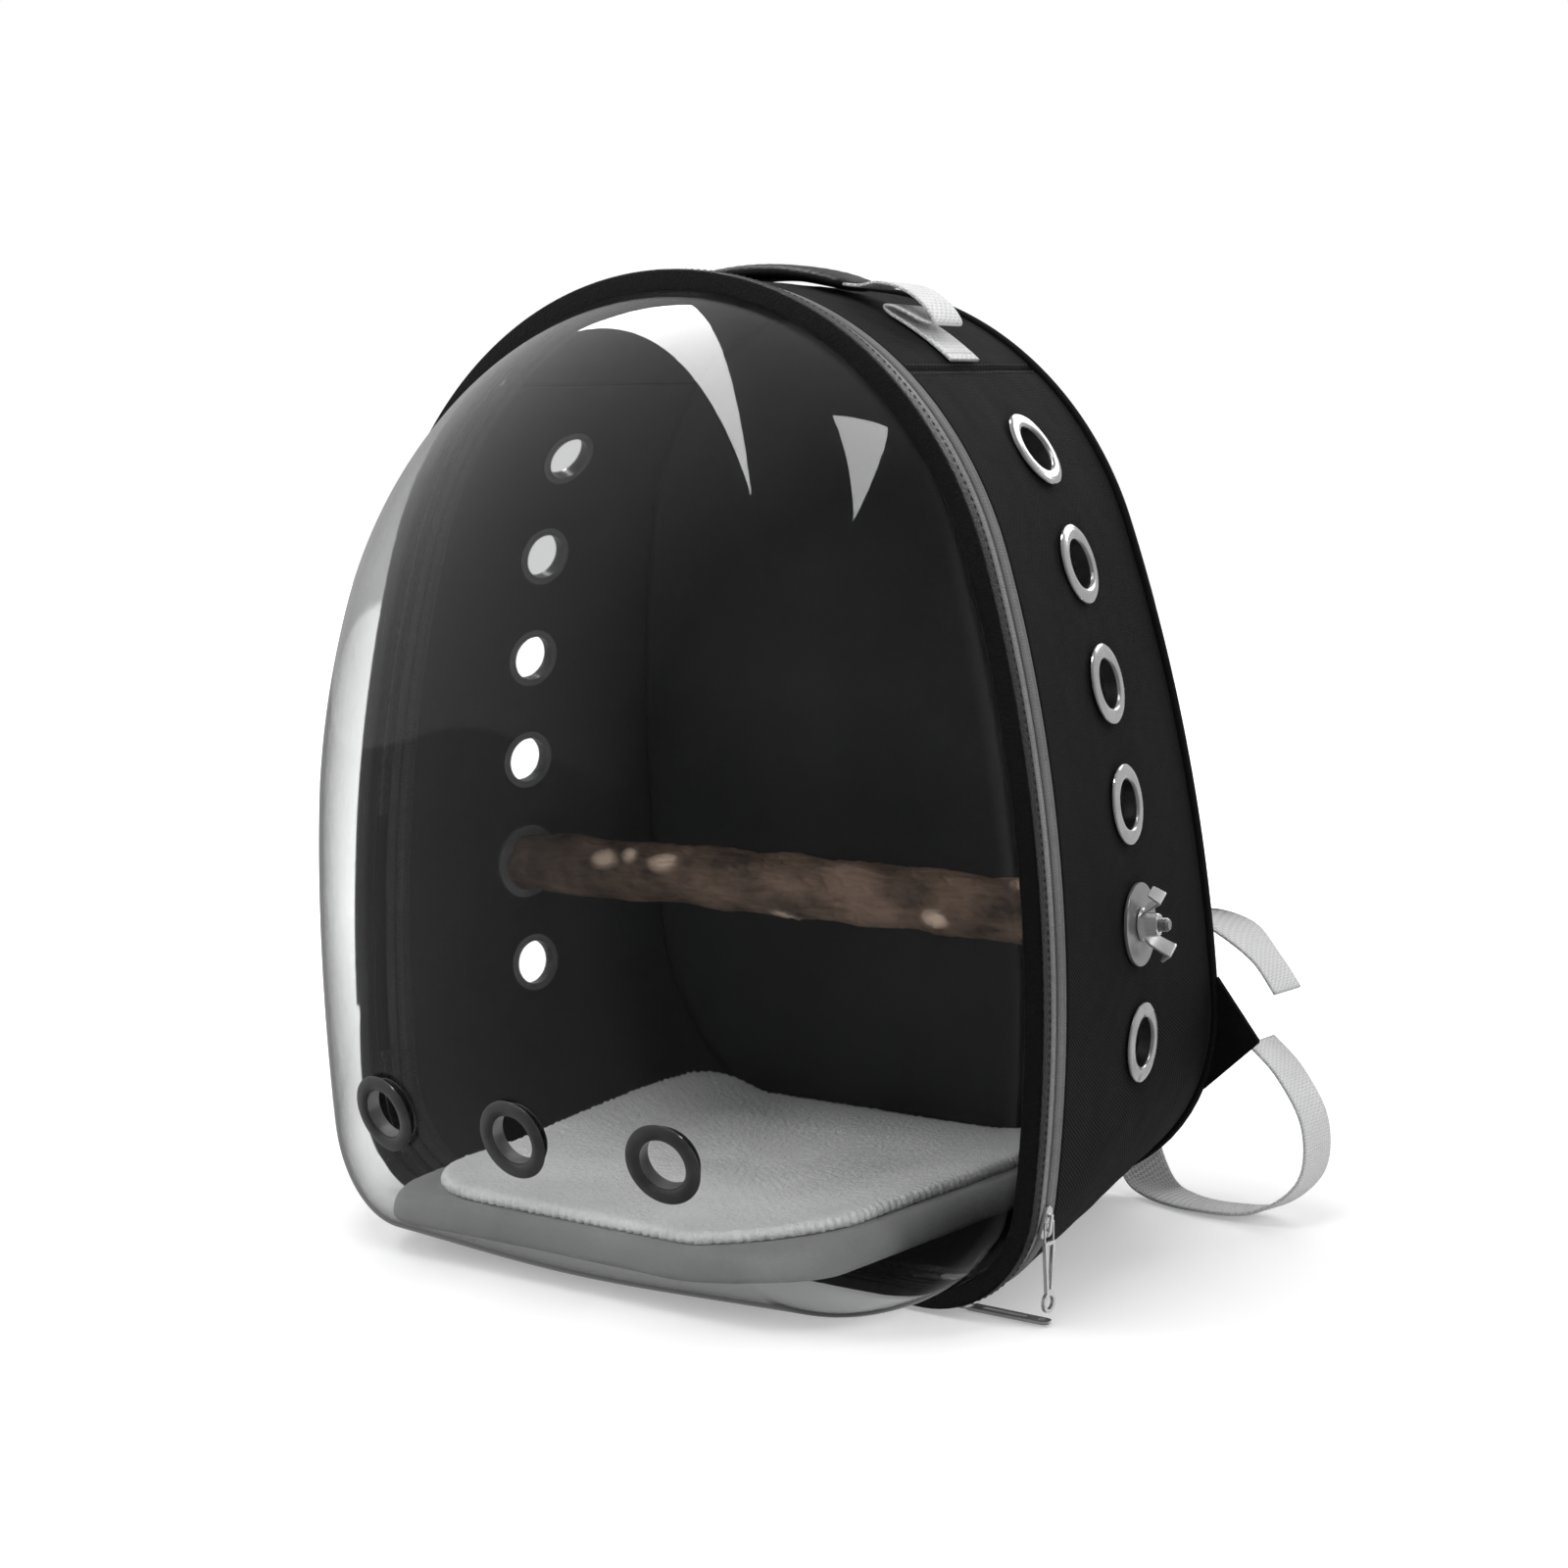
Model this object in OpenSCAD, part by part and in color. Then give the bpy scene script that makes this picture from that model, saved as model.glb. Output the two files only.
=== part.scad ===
// Bird travel carrier: a clear bubble door zipped to a soft black backpack shell,
// with a bark perch bolted across the cabin. Millimetres, +Z up, the door faces -Y.

/* [Front frame] */
// Width of the zip line where it is widest
frame_w = 370; // [340:5:400]
// Height of the top of the zip line
frame_h = 414; // [390:2:440]
// Radius of the lower corners of the zip line
corner_r = 50; // [44:1:56]
// Radius of the long side arcs of the zip line
side_r = 590; // [540:10:650]
// Height at which the zip line is widest
waist_z = 119; // [112:1:126]
// Height of the bottom of the zip line above the ground
ground_gap = 4; // [3.8:0.1:5]

/* [Shell] */
// Width of the back panel
back_w = 314; // [300:2:330]
// Radius of the lower corners of the back panel
back_corner_r = 100; // [92:2:108]
// Radius of the side arcs of the back panel
back_side_r = 750; // [700:10:800]
// Depth from the zip line to the back panel at the ground
depth_low = 199; // [185:1:215]
// Depth from the zip line to the back panel at the top
depth_top = 124; // [115:1:135]
// Thickness of the foam-lined fabric wall
wall = 2.5; // [2:0.1:3]
// How far the floor sags under the zip line, down to the ground at most
floor_sag = 4; // [3.8:0.1:5]
// Depth of the piping round the back panel
piping_depth = 4; // [3:0.5:6]
// How far the piping stands out from the wall
piping_proud = 2; // [1:0.5:3]

/* [Dome] */
// How far the clear dome bulges in front of its rim
dome_depth = 116; // [100:2:130]
// Thickness of the clear sheet
dome_wall = 1.5; // [1.2:0.1:2]
// How far the dome's rim lies inside the zip line
dome_inset = 5; // [5:0.5:8]
// Height of the dome's middle
dome_mid_z = 202; // [190:2:215]
// How far the dome's floor dips below its rim
dome_dip = 6.5; // [4:0.5:7]
// Exponent of the dome's profile in depth
dome_depth_pow = 1.2; // [1.1:0.1:1.6]
// Exponent of the dome's profile in width
dome_width_pow = 2.96; // [2.4:0.1:3.4]
// Exponent that keeps the dome's floor flat
dome_floor_pow = 6.8; // [5:0.2:8]
// Exponent with which the dome's sections grow oval
dome_oval_pow = 3; // [2:0.5:4]

/* [Zip and binding] */
// Width of each half of the zip tape
tape_w = 6.4; // [5.6:0.1:7.2]
// Thickness of the zip tape
tape_t = 1; // [0.8:0.1:1.2]
// Gap between the two halves, in which the sliders' webs run
slit = 1.2; // [1.1:0.1:1.6]
// Width of the black binding round the dome
binding_w = 7; // [6:0.5:8]
// How far the binding stands out from the zip line
binding_proud = 2; // [1:0.5:2]
// Lower end of the fabric hinge on the left side
hinge_low_z = 66; // [60:2:80]
// Upper end of the fabric hinge on the left side
hinge_high_z = 176; // [150:2:200]

/* [Eyelets and perch] */
// Radius of an eyelet's hole
hole_r = 10.4; // [8:0.2:11]
// Outer radius of an eyelet's flange
flange_r = 16.8; // [15:0.2:18]
// Spacing of the eyelets along the side
eyelet_pitch = 54.6; // [50:0.2:58]
// Distance of the lowest eyelet from the lower end of the side arc
first_eyelet = 24; // [18:1:26]
// Number of positions in each side row, the perch's place included
row_count = 6; // [4:1:6]
// Place of the perch in the row, counted from the bottom
perch_place = 1; // [0:1:2]
// Place of the row across the wall, 0 at the zip and 1 at the back
row_across = 0.51; // [0.4:0.01:0.6]
// Spacing of the three eyelets low on the dome
dome_eyelet_pitch = 74; // [60:1:80]
// Height of the three eyelets low on the dome
dome_eyelet_z = 70; // [64:1:80]
// Mean radius of the bark-covered perch
perch_r = 13.6; // [11:0.2:15]
// Radius of the perch's bolts
bolt_r = 3; // [2.5:0.1:4]
// Radius of the washers that clamp the perch
washer_r = 17.4; // [14:0.2:18]
// Thickness of these washers
washer_t = 1.5; // [1:0.1:2]

/* [Floor and mat] */
// Thickness of the stiff floor board
board_t = 3; // [2:0.5:4]
// Thickness of the foam pad on the board
pad_t = 8; // [6:0.5:9]
// Thickness of the mat, its foam base included
mat_t = 18.5; // [14:0.5:20]
// How far the mat's top stands in from the edge of its base
mat_slope = 6; // [3:0.5:8]
// Half the width of the mat
mat_half_w = 112; // [100:2:116]
// How far the mat reaches into the dome
mat_front = 74; // [60:2:76]
// How far the mat reaches into the shell
mat_back = 160; // [130:5:165]

/* [Straps and handle] */
// Width of the webbing
webbing_w = 25; // [20:1:30]
// Thickness of the webbing
webbing_t = 1.4; // [1:0.1:2]
// Half the length of the grip sleeve
grip_half = 45; // [40:1:50]
// Thickness of the grip sleeve
grip_t = 6.6; // [5:0.2:8]
// Width of a shoulder pad
pad_w = 58; // [50:1:64]
// Thickness of a shoulder pad
strap_pad_t = 11; // [8:0.5:14]

/* [Hidden] */

// Place of the zip line's plane, which puts the origin under the middle of the whole carrier
zip_y = -43;
// Gap left between pieces that touch in use
touch = 0.3;
// Clearance of a hinge bar, bolt or barrel in its hole
running = 0.1;

// Steps on each stretch of an arch: flat bottom, corner, side and top
bottom_steps = 1;
corner_steps = 8;
side_steps = 8;
top_steps = 10;

// An arch is [width, side radius, corner radius]
front_arch = [frame_w, side_r, corner_r];
rear_arch = [back_w, back_side_r, back_corner_r];

function side_cx(a) = a[0] / 2 - a[1];
function corner_cz(a) = ground_gap + a[2];
function corner_cx(a) =
    side_cx(a) + sqrt(pow(a[1] - a[2], 2) - pow(waist_z - corner_cz(a), 2));
function rise() = frame_h - waist_z;
function top_r(a) =
    (pow(side_cx(a), 2) + pow(rise(), 2) - pow(a[1], 2)) / (2 * rise() - 2 * a[1]);
function side_start(a) = atan2(corner_cz(a) - waist_z, corner_cx(a) - side_cx(a));
function side_end(a) = atan2(rise() - top_r(a), -side_cx(a));

function around(cx, cz, r, angle) = [cx + r * cos(angle), cz + r * sin(angle)];

// Point of the right half of an arch: f runs 0-1 along the bottom, 1-2 round the corner,
// 2-3 up the side and 3-4 over the top, and d is the distance outwards
function half_arch(a, f, d) =
    f < 1 ? [corner_cx(a) * f, ground_gap - d]
    : f < 2 ? around(corner_cx(a), corner_cz(a), a[2] + d,
                     -90 + (f - 1) * (side_start(a) + 90))
    : f < 3 ? around(side_cx(a), waist_z, a[1] + d,
                     side_start(a) + (f - 2) * (side_end(a) - side_start(a)))
    : around(0, frame_h - top_r(a), top_r(a) + d, side_end(a) + (f - 3) * (90 - side_end(a)));

// Point of the whole arch, which runs on over the left half up to f = 8
function arch(a, f, d = 0) =
    let (g = f >= 8 ? f - 8 : f < 0 ? f + 8 : f)
    g <= 4 ? half_arch(a, g, d)
    : let (p = half_arch(a, 8 - g, d)) [-p[0], p[1]];

half_steps = [
    for (i = [0 : bottom_steps - 1]) i / bottom_steps,
    for (i = [0 : corner_steps - 1]) 1 + i / corner_steps,
    for (i = [0 : side_steps - 1]) 2 + i / side_steps,
    for (i = [0 : top_steps - 1]) 3 + i / top_steps
];
loop_steps = [
    for (f = half_steps) f,
    for (i = [len(half_steps) : -1 : 1]) 8 - (i == len(half_steps) ? 4 : half_steps[i])
];
// The loop's steps between two places, with both places
function steps_between(from, to) = [
    from,
    for (turn = [-8, 0, 8]) for (f = loop_steps)
        if (f + turn > from + 0.01 && f + turn < to - 0.01) f + turn,
    to
];
// Where an arch's side stands at a height, as a place f
function place_at(a, z) =
    2 + (asin((z - waist_z) / a[1]) - side_start(a)) / (side_end(a) - side_start(a));

// The back panel's plane leans forwards
function rear_y(z) = depth_low - (depth_low - depth_top) * z / frame_h;
function at_front(f, d, y) = let (p = arch(front_arch, f, d)) [p[0], y, p[1]];
function at_rear(f, d, y) = let (p = arch(rear_arch, f, d)) [p[0], rear_y(p[1]) + y, p[1]];

// The shell's wall is ruled from the zip tape, at t = 0, to the piping, at t = 1
wall_start = slit / 2 + tape_w + touch;
wall_end = -piping_depth - touch;
function on_wall(f, t, d = 0) =
    at_front(f, d, wall_start) * (1 - t) + at_rear(f, d, wall_end) * t;

function unit(v) = v / norm(v);
function wall_up(f, t) = unit(on_wall(f + 0.02, t) - on_wall(f - 0.02, t));
function wall_out(f, t) = unit(cross(on_wall(f, 1) - on_wall(f, 0), wall_up(f, t)));

// Puts a child whose +Z points outwards onto the wall
module seat_on_wall(f, t) {
    u = wall_up(f, t);
    n = wall_out(f, t);
    v = cross(n, u);
    p = on_wall(f, t);
    multmatrix([
        [u[0], v[0], n[0], p[0]],
        [u[1], v[1], n[1], p[1]],
        [u[2], v[2], n[2], p[2]],
        [0, 0, 0, 1]
    ]) children();
}

module place() {
    translate([0, zip_y, 0]) children();
}

module left_side() {
    mirror([1, 0, 0]) children();
}

function reversed(v) = [for (i = [len(v) - 1 : -1 : 0]) v[i]];
function mix(a, b, t) = a + (b - a) * t;
function ramp(x, from, to) = let (t = max(0, min(1, (x - from) / (to - from)))) t * t * (3 - 2 * t);

// Solid through rings of as many points each, with flat ends unless it closes on itself
module skin(rings, closed = false) {
    n = len(rings[0]);
    m = len(rings);
    last = closed ? m - 1 : m - 2;
    sides = [
        for (k = [0 : last]) for (i = [0 : n - 1])
            let (a = k * n, b = ((k + 1) % m) * n, j = (i + 1) % n)
            each [[a + i, b + i, b + j], [a + i, b + j, a + j]]
    ];
    ends = closed ? [] : [
        [for (i = [0 : n - 1]) i],
        [for (i = [n - 1 : -1 : 0]) (m - 1) * n + i]
    ];
    polyhedron(points = [for (r = rings) each r], faces = concat(sides, ends), convexity = 8);
}

// Solid between two grids of points: its rows, its columns and the way from the second grid
// to the first turn like X, Y and Z
module slab_between(inner, outer) {
    last_row = len(inner) - 1;
    last_col = len(inner[0]) - 1;
    cols = last_col + 1;
    function in_at(r, c) = r * cols + c;
    function out_at(r, c) = (last_row + 1 + r) * cols + c;
    function quad(a, b, c, d) = [[a, c, b], [a, d, c]];
    faces = [
        for (r = [0 : last_row - 1]) for (c = [0 : last_col - 1]) each concat(
            quad(in_at(r, c), in_at(r + 1, c), in_at(r + 1, c + 1), in_at(r, c + 1)),
            quad(out_at(r, c + 1), out_at(r + 1, c + 1), out_at(r + 1, c), out_at(r, c))
        ),
        for (r = [0 : last_row - 1]) each concat(
            quad(in_at(r, last_col), in_at(r + 1, last_col), out_at(r + 1, last_col), out_at(r, last_col)),
            quad(out_at(r, 0), out_at(r + 1, 0), in_at(r + 1, 0), in_at(r, 0))
        ),
        for (c = [0 : last_col - 1]) each concat(
            quad(in_at(0, c), in_at(0, c + 1), out_at(0, c + 1), out_at(0, c)),
            quad(in_at(last_row, c), out_at(last_row, c), out_at(last_row, c + 1),
                 in_at(last_row, c + 1))
        )
    ];
    polyhedron(points = concat([for (r = inner) each r], [for (r = outer) each r]),
               faces = faces, convexity = 4);
}

// Flat hoop that follows the zip line between two distances outwards and two depths
module hoop(d0, d1, y0, y1) {
    translate([0, y1, 0]) rotate([90, 0, 0]) linear_extrude(y1 - y0) difference() {
        polygon([for (f = loop_steps) arch(front_arch, f, d1)]);
        polygon([for (f = loop_steps) arch(front_arch, f, d0)]);
    }
}

// Part of such a hoop, between two places
module hoop_part(d0, d1, y0, y1, from, to) {
    steps = steps_between(from, to);
    translate([0, y1, 0]) rotate([90, 0, 0]) linear_extrude(y1 - y0)
        polygon(concat(
            [for (f = steps) arch(front_arch, f, d1)],
            [for (f = reversed(steps)) arch(front_arch, f, d0)]
        ));
}

// The fabric hinge takes the zip's place on the left side
hinge_from = 8 - place_at(front_arch, hinge_high_z);
hinge_to = 8 - place_at(front_arch, hinge_low_z);
tape_y = slit / 2 + tape_w;
coil_w = 3;
coil_t = 1.8;
binding_y = -tape_y;
binding_front = binding_y - binding_w;
binding_in = 7;

// Clear dome

rim_y = binding_y - binding_w / 2;
// The floor's dip starts clear of the binding and ends where the floor turns up
dip_from = (binding_w / 2 + 5) / dome_depth;
dip_to = 0.75;
dome_rings = [1, 0.985, 0.965, 0.94, 0.9, 0.85, 0.79, 0.72, 0.64, 0.55, 0.45, 0.34, 0.22, 0.1];

// Point of the dome: s is its section's share of the full width, and inner is a distance
// inside its outer face
function dome_point(f, s, inner) =
    let (
        p = arch(front_arch, f, -dome_inset - inner),
        half = frame_w / 2 - dome_inset - inner,
        up = frame_h - dome_inset - inner - dome_mid_z,
        down = dome_mid_z - ground_gap - dome_inset - inner,
        depth = pow(1 - pow(s, dome_width_pow), 1 / dome_depth_pow),
        angle = atan2(p[1] - dome_mid_z, p[0]),
        reach = p[1] > dome_mid_z ? up : down,
        oval = 1 / sqrt(pow(cos(angle) / half, 2) + pow(sin(angle) / reach, 2)),
        share = pow(depth, dome_oval_pow),
        x = mix(p[0], oval * cos(angle), share),
        z = mix(p[1] - dome_mid_z, oval * sin(angle), share),
        dip = dome_dip * sin(180 * max(0, min(1, (depth - dip_from) / (dip_to - dip_from)))),
        floor_share = (1 - pow(depth, dome_floor_pow)) * (1 + dip / down)
    )
    [x * s, rim_y - depth * (dome_depth - inner), dome_mid_z + z * (z > 0 ? s : floor_share)];

function dome_ring(s, inner) = [for (f = loop_steps) dome_point(f, s, inner)];
function rim_ring(d, y) = [for (f = loop_steps) at_front(f, d, y)];

// Place of the dome's outer face straight in front of a point, searched along the sections
function dome_front(x, z, lo = 0.1, hi = 1, n = 16) =
    n == 0 ? let (s = (lo + hi) / 2) rim_y - pow(1 - pow(s, dome_width_pow), 1 / dome_depth_pow) * dome_depth
    : let (s = (lo + hi) / 2)
      dome_holds(x, z, s) ? dome_front(x, z, lo, s, n - 1) : dome_front(x, z, s, hi, n - 1);
function dome_holds(x, z, s) =
    let (low = [for (i = [0 : 12]) dome_point(1 + i / 12, s, 0)],
         mid = [for (p = low) if (p[0] >= abs(x)) p[2]],
         base = dome_point(0.5, s, 0)[2])
    abs(x) < dome_point(1, s, 0)[0] ? z > base : len(mid) > 0 && z > min(mid);

function on_dome(x, z) = [x, dome_front(x, z), z];
function dome_seat(x, e = 3) =
    let (p = on_dome(x, dome_eyelet_z),
         px = on_dome(x + e, dome_eyelet_z) - on_dome(x - e, dome_eyelet_z),
         u = unit(on_dome(x, dome_eyelet_z + e) - on_dome(x, dome_eyelet_z - e)),
         n = unit(cross(px, u)),
         v = cross(n, u))
    [u, v, n, p];

module seat_on_dome(x) {
    s = dome_seat(x);
    multmatrix([
        [s[0][0], s[1][0], s[2][0], s[3][0]],
        [s[0][1], s[1][1], s[2][1], s[3][1]],
        [s[0][2], s[1][2], s[2][2], s[3][2]],
        [0, 0, 0, 1]
    ]) children();
}

// How far the dome curves away from a flat ring's seat, at the ring's edge
function dome_drop(x, r) =
    let (s = dome_seat(x))
    max([for (a = [0 : 45 : 315])
        (s[3] - on_dome(x + r * cos(a), dome_eyelet_z + r * sin(a))) * s[2]]);

dome_eyelet_x = [-dome_eyelet_pitch, 0, dome_eyelet_pitch];
rim_grip = 0.6;

module clear_dome() {
    color("lightgray", 0.4) place() difference() {
        skin(concat(
            [for (s = reversed(dome_rings)) dome_ring(s, dome_wall)],
            [rim_ring(-rim_grip - 0.4, rim_y + dome_wall), rim_ring(-rim_grip - 0.4, rim_y)],
            [for (s = dome_rings) dome_ring(s, 0)]
        ));
        for (x = dome_eyelet_x) seat_on_dome(x)
            translate([0, 0, -12]) cylinder(r = barrel_r + running, h = 24, $fn = 48);
    }
}

// Black binding, folded round the dome's rim
module dome_binding() {
    color("#151515") place() difference() {
        hoop(-binding_in, binding_proud, binding_front, binding_y);
        hoop(-dome_inset - dome_wall - touch, -rim_grip, rim_y - touch, rim_y + dome_wall + touch);
        hoop(-binding_in - 1, -dome_inset + touch, binding_front - 1, rim_y + dome_wall + touch);
    }
}

// Eyelets

barrel_r = hole_r + 0.8;
eyelet_lift = 0.2;

// Pressed ring with a barrel that reaches through a wall
module eyelet(through) {
    rotate_extrude($fn = 64) polygon([
        [hole_r, -through], [barrel_r, -through], [barrel_r, eyelet_lift],
        [flange_r - 0.6, eyelet_lift], [flange_r, 0.6], [flange_r - 1, 1.5],
        [(hole_r + flange_r) / 2 + 0.6, 2.1], [hole_r + 1.4, 1.8], [hole_r, 0.9]
    ]);
}

module eyelet_washer(outer, depth) {
    translate([0, 0, -depth - eyelet_washer_t]) difference() {
        cylinder(r = outer, h = eyelet_washer_t, $fn = 64);
        translate([0, 0, -1]) cylinder(r = barrel_r + running, h = 3, $fn = 64);
    }
}

eyelet_back_r = flange_r - 3;
// A flat ring stands this far off a curved wall, on the side panels and on the dome
washer_stand = 1.2;
dome_clear = 0.95;
dome_stand = max([for (x = dome_eyelet_x) dome_drop(x, eyelet_back_r)]) + dome_clear;
eyelet_washer_t = 0.8;
function eyelet_reach(thickness, stand) = thickness + stand + eyelet_washer_t + 0.1;

module dome_eyelets() {
    color("#5b5b60") place() for (x = dome_eyelet_x) seat_on_dome(x)
        translate([0, 0, washer_stand]) eyelet(eyelet_reach(dome_wall, dome_stand) + washer_stand);
}

module dome_eyelet_washers() {
    color("#5b5b60") place() for (x = dome_eyelet_x) seat_on_dome(x)
        eyelet_washer(eyelet_back_r, dome_wall + dome_stand);
}

// Arc lengths that turn a distance along the side into a place on the arch
side_len = side_r * (side_end(front_arch) - side_start(front_arch)) * PI / 180;
top_len = top_r(front_arch) * (90 - side_end(front_arch)) * PI / 180;
function place_along(len) = len < side_len ? 2 + len / side_len : 3 + (len - side_len) / top_len;
function row_place(i) = place_along(first_eyelet + i * eyelet_pitch);
perch_f = row_place(perch_place);

module on_row() {
    for (i = [0 : row_count - 1]) if (i != perch_place)
        seat_on_wall(row_place(i), row_across) children();
}

module right_eyelets() {
    color("silver") place() on_row() eyelet(eyelet_reach(wall, washer_stand));
}

module left_eyelets() {
    color("silver") place() left_side() on_row() eyelet(eyelet_reach(wall, washer_stand));
}

module right_eyelet_washers() {
    color("silver") place() on_row() eyelet_washer(eyelet_back_r, wall + washer_stand);
}

module left_eyelet_washers() {
    color("silver") place() left_side() on_row()
        eyelet_washer(eyelet_back_r, wall + washer_stand);
}

// Zip

module zip_tape(y0, y1) {
    hoop_part(-tape_t, 0, y0, y1, hinge_to - 8, hinge_from);
}

module zip_coil(y0, y1) {
    hoop_part(-tape_t - coil_t, -tape_t, y0, y1, hinge_to - 8, hinge_from);
}

module zip_tape_door() {
    color("dimgray") place() zip_tape(-tape_y, -slit / 2);
}

module zip_coil_door() {
    color("#303030") place() zip_coil(-slit / 2 - coil_w, -slit / 2);
}

module zip_tape_shell() {
    color("dimgray") place() zip_tape(slit / 2, tape_y);
}

module zip_coil_shell() {
    color("#303030") place() zip_coil(slit / 2, slit / 2 + coil_w);
}

// The hinge is one strip of fabric, which bends along the line where its halves meet
module hinge_strip_door() {
    color("#101010") place()
        hoop_part(-tape_t, 0, -tape_y, -touch / 2, hinge_from, hinge_to);
}

module hinge_strip_shell() {
    color("#101010") place()
        hoop_part(-tape_t, 0, touch / 2, tape_y, hinge_from, hinge_to);
}

// Slider, with +Z outwards and +X along the track
slider_len = 13;
slider_w = 8.6;
plate_t = 1.4;
web_t = slit - 0.4;
inner_plate_z = -7.6;
bail_z = touch + plate_t;
bail_gap = 0.9;
bail_t = 0.8;
pull_bar_r = bail_gap / 2 - running;
pull_axis_z = bail_z + bail_gap / 2;
bail_len = 7;
bail_w = 2;

module slider_plate(t) {
    linear_extrude(t) hull() {
        translate([slider_len / 2 - 2, slider_w / 2 - 2]) circle(r = 2, $fn = 24);
        translate([slider_len / 2 - 2, 2 - slider_w / 2]) circle(r = 2, $fn = 24);
        translate([2.6 - slider_len / 2, 0]) circle(r = 2.6, $fn = 24);
    }
}

module slider() {
    translate([0, 0, touch]) slider_plate(plate_t);
    translate([0, 0, inner_plate_z]) slider_plate(plate_t);
    translate([-slider_len / 4, -web_t / 2, inner_plate_z])
        cube([slider_len / 2, web_t, touch + plate_t - inner_plate_z]);
    difference() {
        translate([-bail_len / 2, -bail_w / 2, bail_z - 0.2])
            cube([bail_len, bail_w, bail_gap + bail_t + 0.2]);
        translate([-bail_len / 2 + 1.2, -bail_w, bail_z])
            cube([bail_len - 2.4, 2 * bail_w, bail_gap]);
    }
}

pull_half = 3.1;
wire_w = 1.5;
arm_t = 1.6 * pull_bar_r;
// The wide part of a pull begins clear of the slider's end
pull_start = slider_len / 2 + 0.9;

// The bar that turns in the bail, with the stub arms of the pull
module pull_root(reach) {
    translate([0, pull_half + pull_bar_r, 0]) rotate([90, 0, 0])
        cylinder(r = pull_bar_r, h = 2 * (pull_half + pull_bar_r), $fn = 32);
    for (side = [-1, 1])
        translate([0, side * pull_half - pull_bar_r, -arm_t / 2])
            cube([reach + wire_w, 2 * pull_bar_r, arm_t]);
}

upper_pull_len = 36;
ring_r = 4.2;
// Long wire loop with a ring at its end
module upper_pull_shape() {
    ring_x = upper_pull_len - ring_r;
    loop_x = ring_x - ring_r;
    pull_root(pull_start);
    translate([0, 0, -wire_w / 2]) linear_extrude(wire_w) difference() {
        union() {
            polygon([[pull_start, -pull_half - 0.7], [loop_x + 1.5, -2.1],
                     [loop_x + 1.5, 2.1], [pull_start, pull_half + 0.7]]);
            translate([ring_x, 0]) circle(r = ring_r, $fn = 48);
        }
        polygon([[pull_start + wire_w, 1 - pull_half], [loop_x - 1, -0.6],
                 [loop_x - 1, 0.6], [pull_start + wire_w, pull_half - 1]]);
        translate([ring_x, 0]) circle(r = ring_r - wire_w, $fn = 48);
    }
}

lower_pull_len = 44;
lower_pull_t = 1.3;
// Long flat tab with a slot down its middle
module lower_pull_shape() {
    pull_root(pull_start);
    translate([0, 0, -lower_pull_t / 2]) linear_extrude(lower_pull_t) difference() {
        hull() {
            translate([pull_start + 1, 0]) square([2, 2 * pull_half + 0.8], center = true);
            translate([lower_pull_len - 3.2, 0]) circle(r = 3.2, $fn = 32);
        }
        hull() {
            translate([14, 0]) circle(r = 1.2, $fn = 24);
            translate([lower_pull_len - 12, 0]) circle(r = 1.2, $fn = 24);
        }
        translate([lower_pull_len - 4, 0]) circle(r = 1.7, $fn = 24);
    }
}

// The upper slider runs on the right side arc and rests at its lower end
upper_slider_z = 42;
upper_slider_angle = asin((upper_slider_z - waist_z) / side_r);
// The lower slider runs along the straight bottom and rests by the right corner
lower_slider_x = corner_cx(front_arch) + 8;

module at_upper_slider() {
    translate([side_cx(front_arch), 0, waist_z]) rotate([0, 90 - upper_slider_angle, 0])
        translate([0, 0, side_r]) children();
}

module at_lower_slider() {
    translate([lower_slider_x, 0, ground_gap]) rotate([180, 0, 0]) children();
}

module zip_slider_upper() {
    color("#c8c8cc") place() at_upper_slider() slider();
}

module zip_pull_upper() {
    color("#d5d5d8") place() at_upper_slider() translate([0, 0, pull_axis_z])
        rotate([0, upper_slider_angle, 0]) upper_pull_shape();
}

module zip_slider_lower() {
    color("#c8c8cc") place() at_lower_slider() slider();
}

module zip_pull_lower() {
    color("#d5d5d8") place() at_lower_slider() translate([0, 0, pull_axis_z]) lower_pull_shape();
}

// Shell

facing_t = 1.1;
facing_d = -wall - touch;
facing_y = slit / 2 + coil_w + 2 * touch;
facing_across = 0.07;

module front_facing() {
    inner_d = facing_d - facing_t;
    color("#2a2a2a") place() skin([
        for (f = loop_steps) [
            at_front(f, inner_d, facing_y), at_front(f, facing_d, facing_y), on_wall(f, 0, facing_d),
            on_wall(f, facing_across, facing_d), on_wall(f, facing_across, inner_d), on_wall(f, 0, inner_d)
        ]
    ], closed = true);
}

hoop_t = 1.6;
hoop_across = [0.01, 0.045];
// Flat sprung hoop inside the facing, which keeps the opening's shape
module front_hoop() {
    outer_d = facing_d - facing_t - touch;
    color("#e0e0e0") place() skin([
        for (f = loop_steps) [
            on_wall(f, hoop_across[0], outer_d - hoop_t), on_wall(f, hoop_across[0], outer_d),
            on_wall(f, hoop_across[1], outer_d), on_wall(f, hoop_across[1], outer_d - hoop_t)
        ]
    ], closed = true);
}

seam_f = 3.43;

// Panel of the wall between two places on the arch
module wall_panel(from, to) {
    skin([
        for (f = steps_between(from, to))
            [on_wall(f, 0, -wall), on_wall(f, 0, 0), on_wall(f, 1, 0), on_wall(f, 1, -wall)]
    ]);
}

module side_panel() {
    difference() {
        wall_panel(1, seam_f);
        on_row() translate([0, 0, -8]) cylinder(r = barrel_r + running, h = 16, $fn = 48);
        seat_on_wall(perch_f, row_across)
            translate([0, 0, -8]) cylinder(r = bolt_r + running, h = 16, $fn = 48);
    }
}

module right_panel() {
    color("#161616") place() side_panel();
}

module left_panel() {
    color("#161616") place() left_side() side_panel();
}

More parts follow.
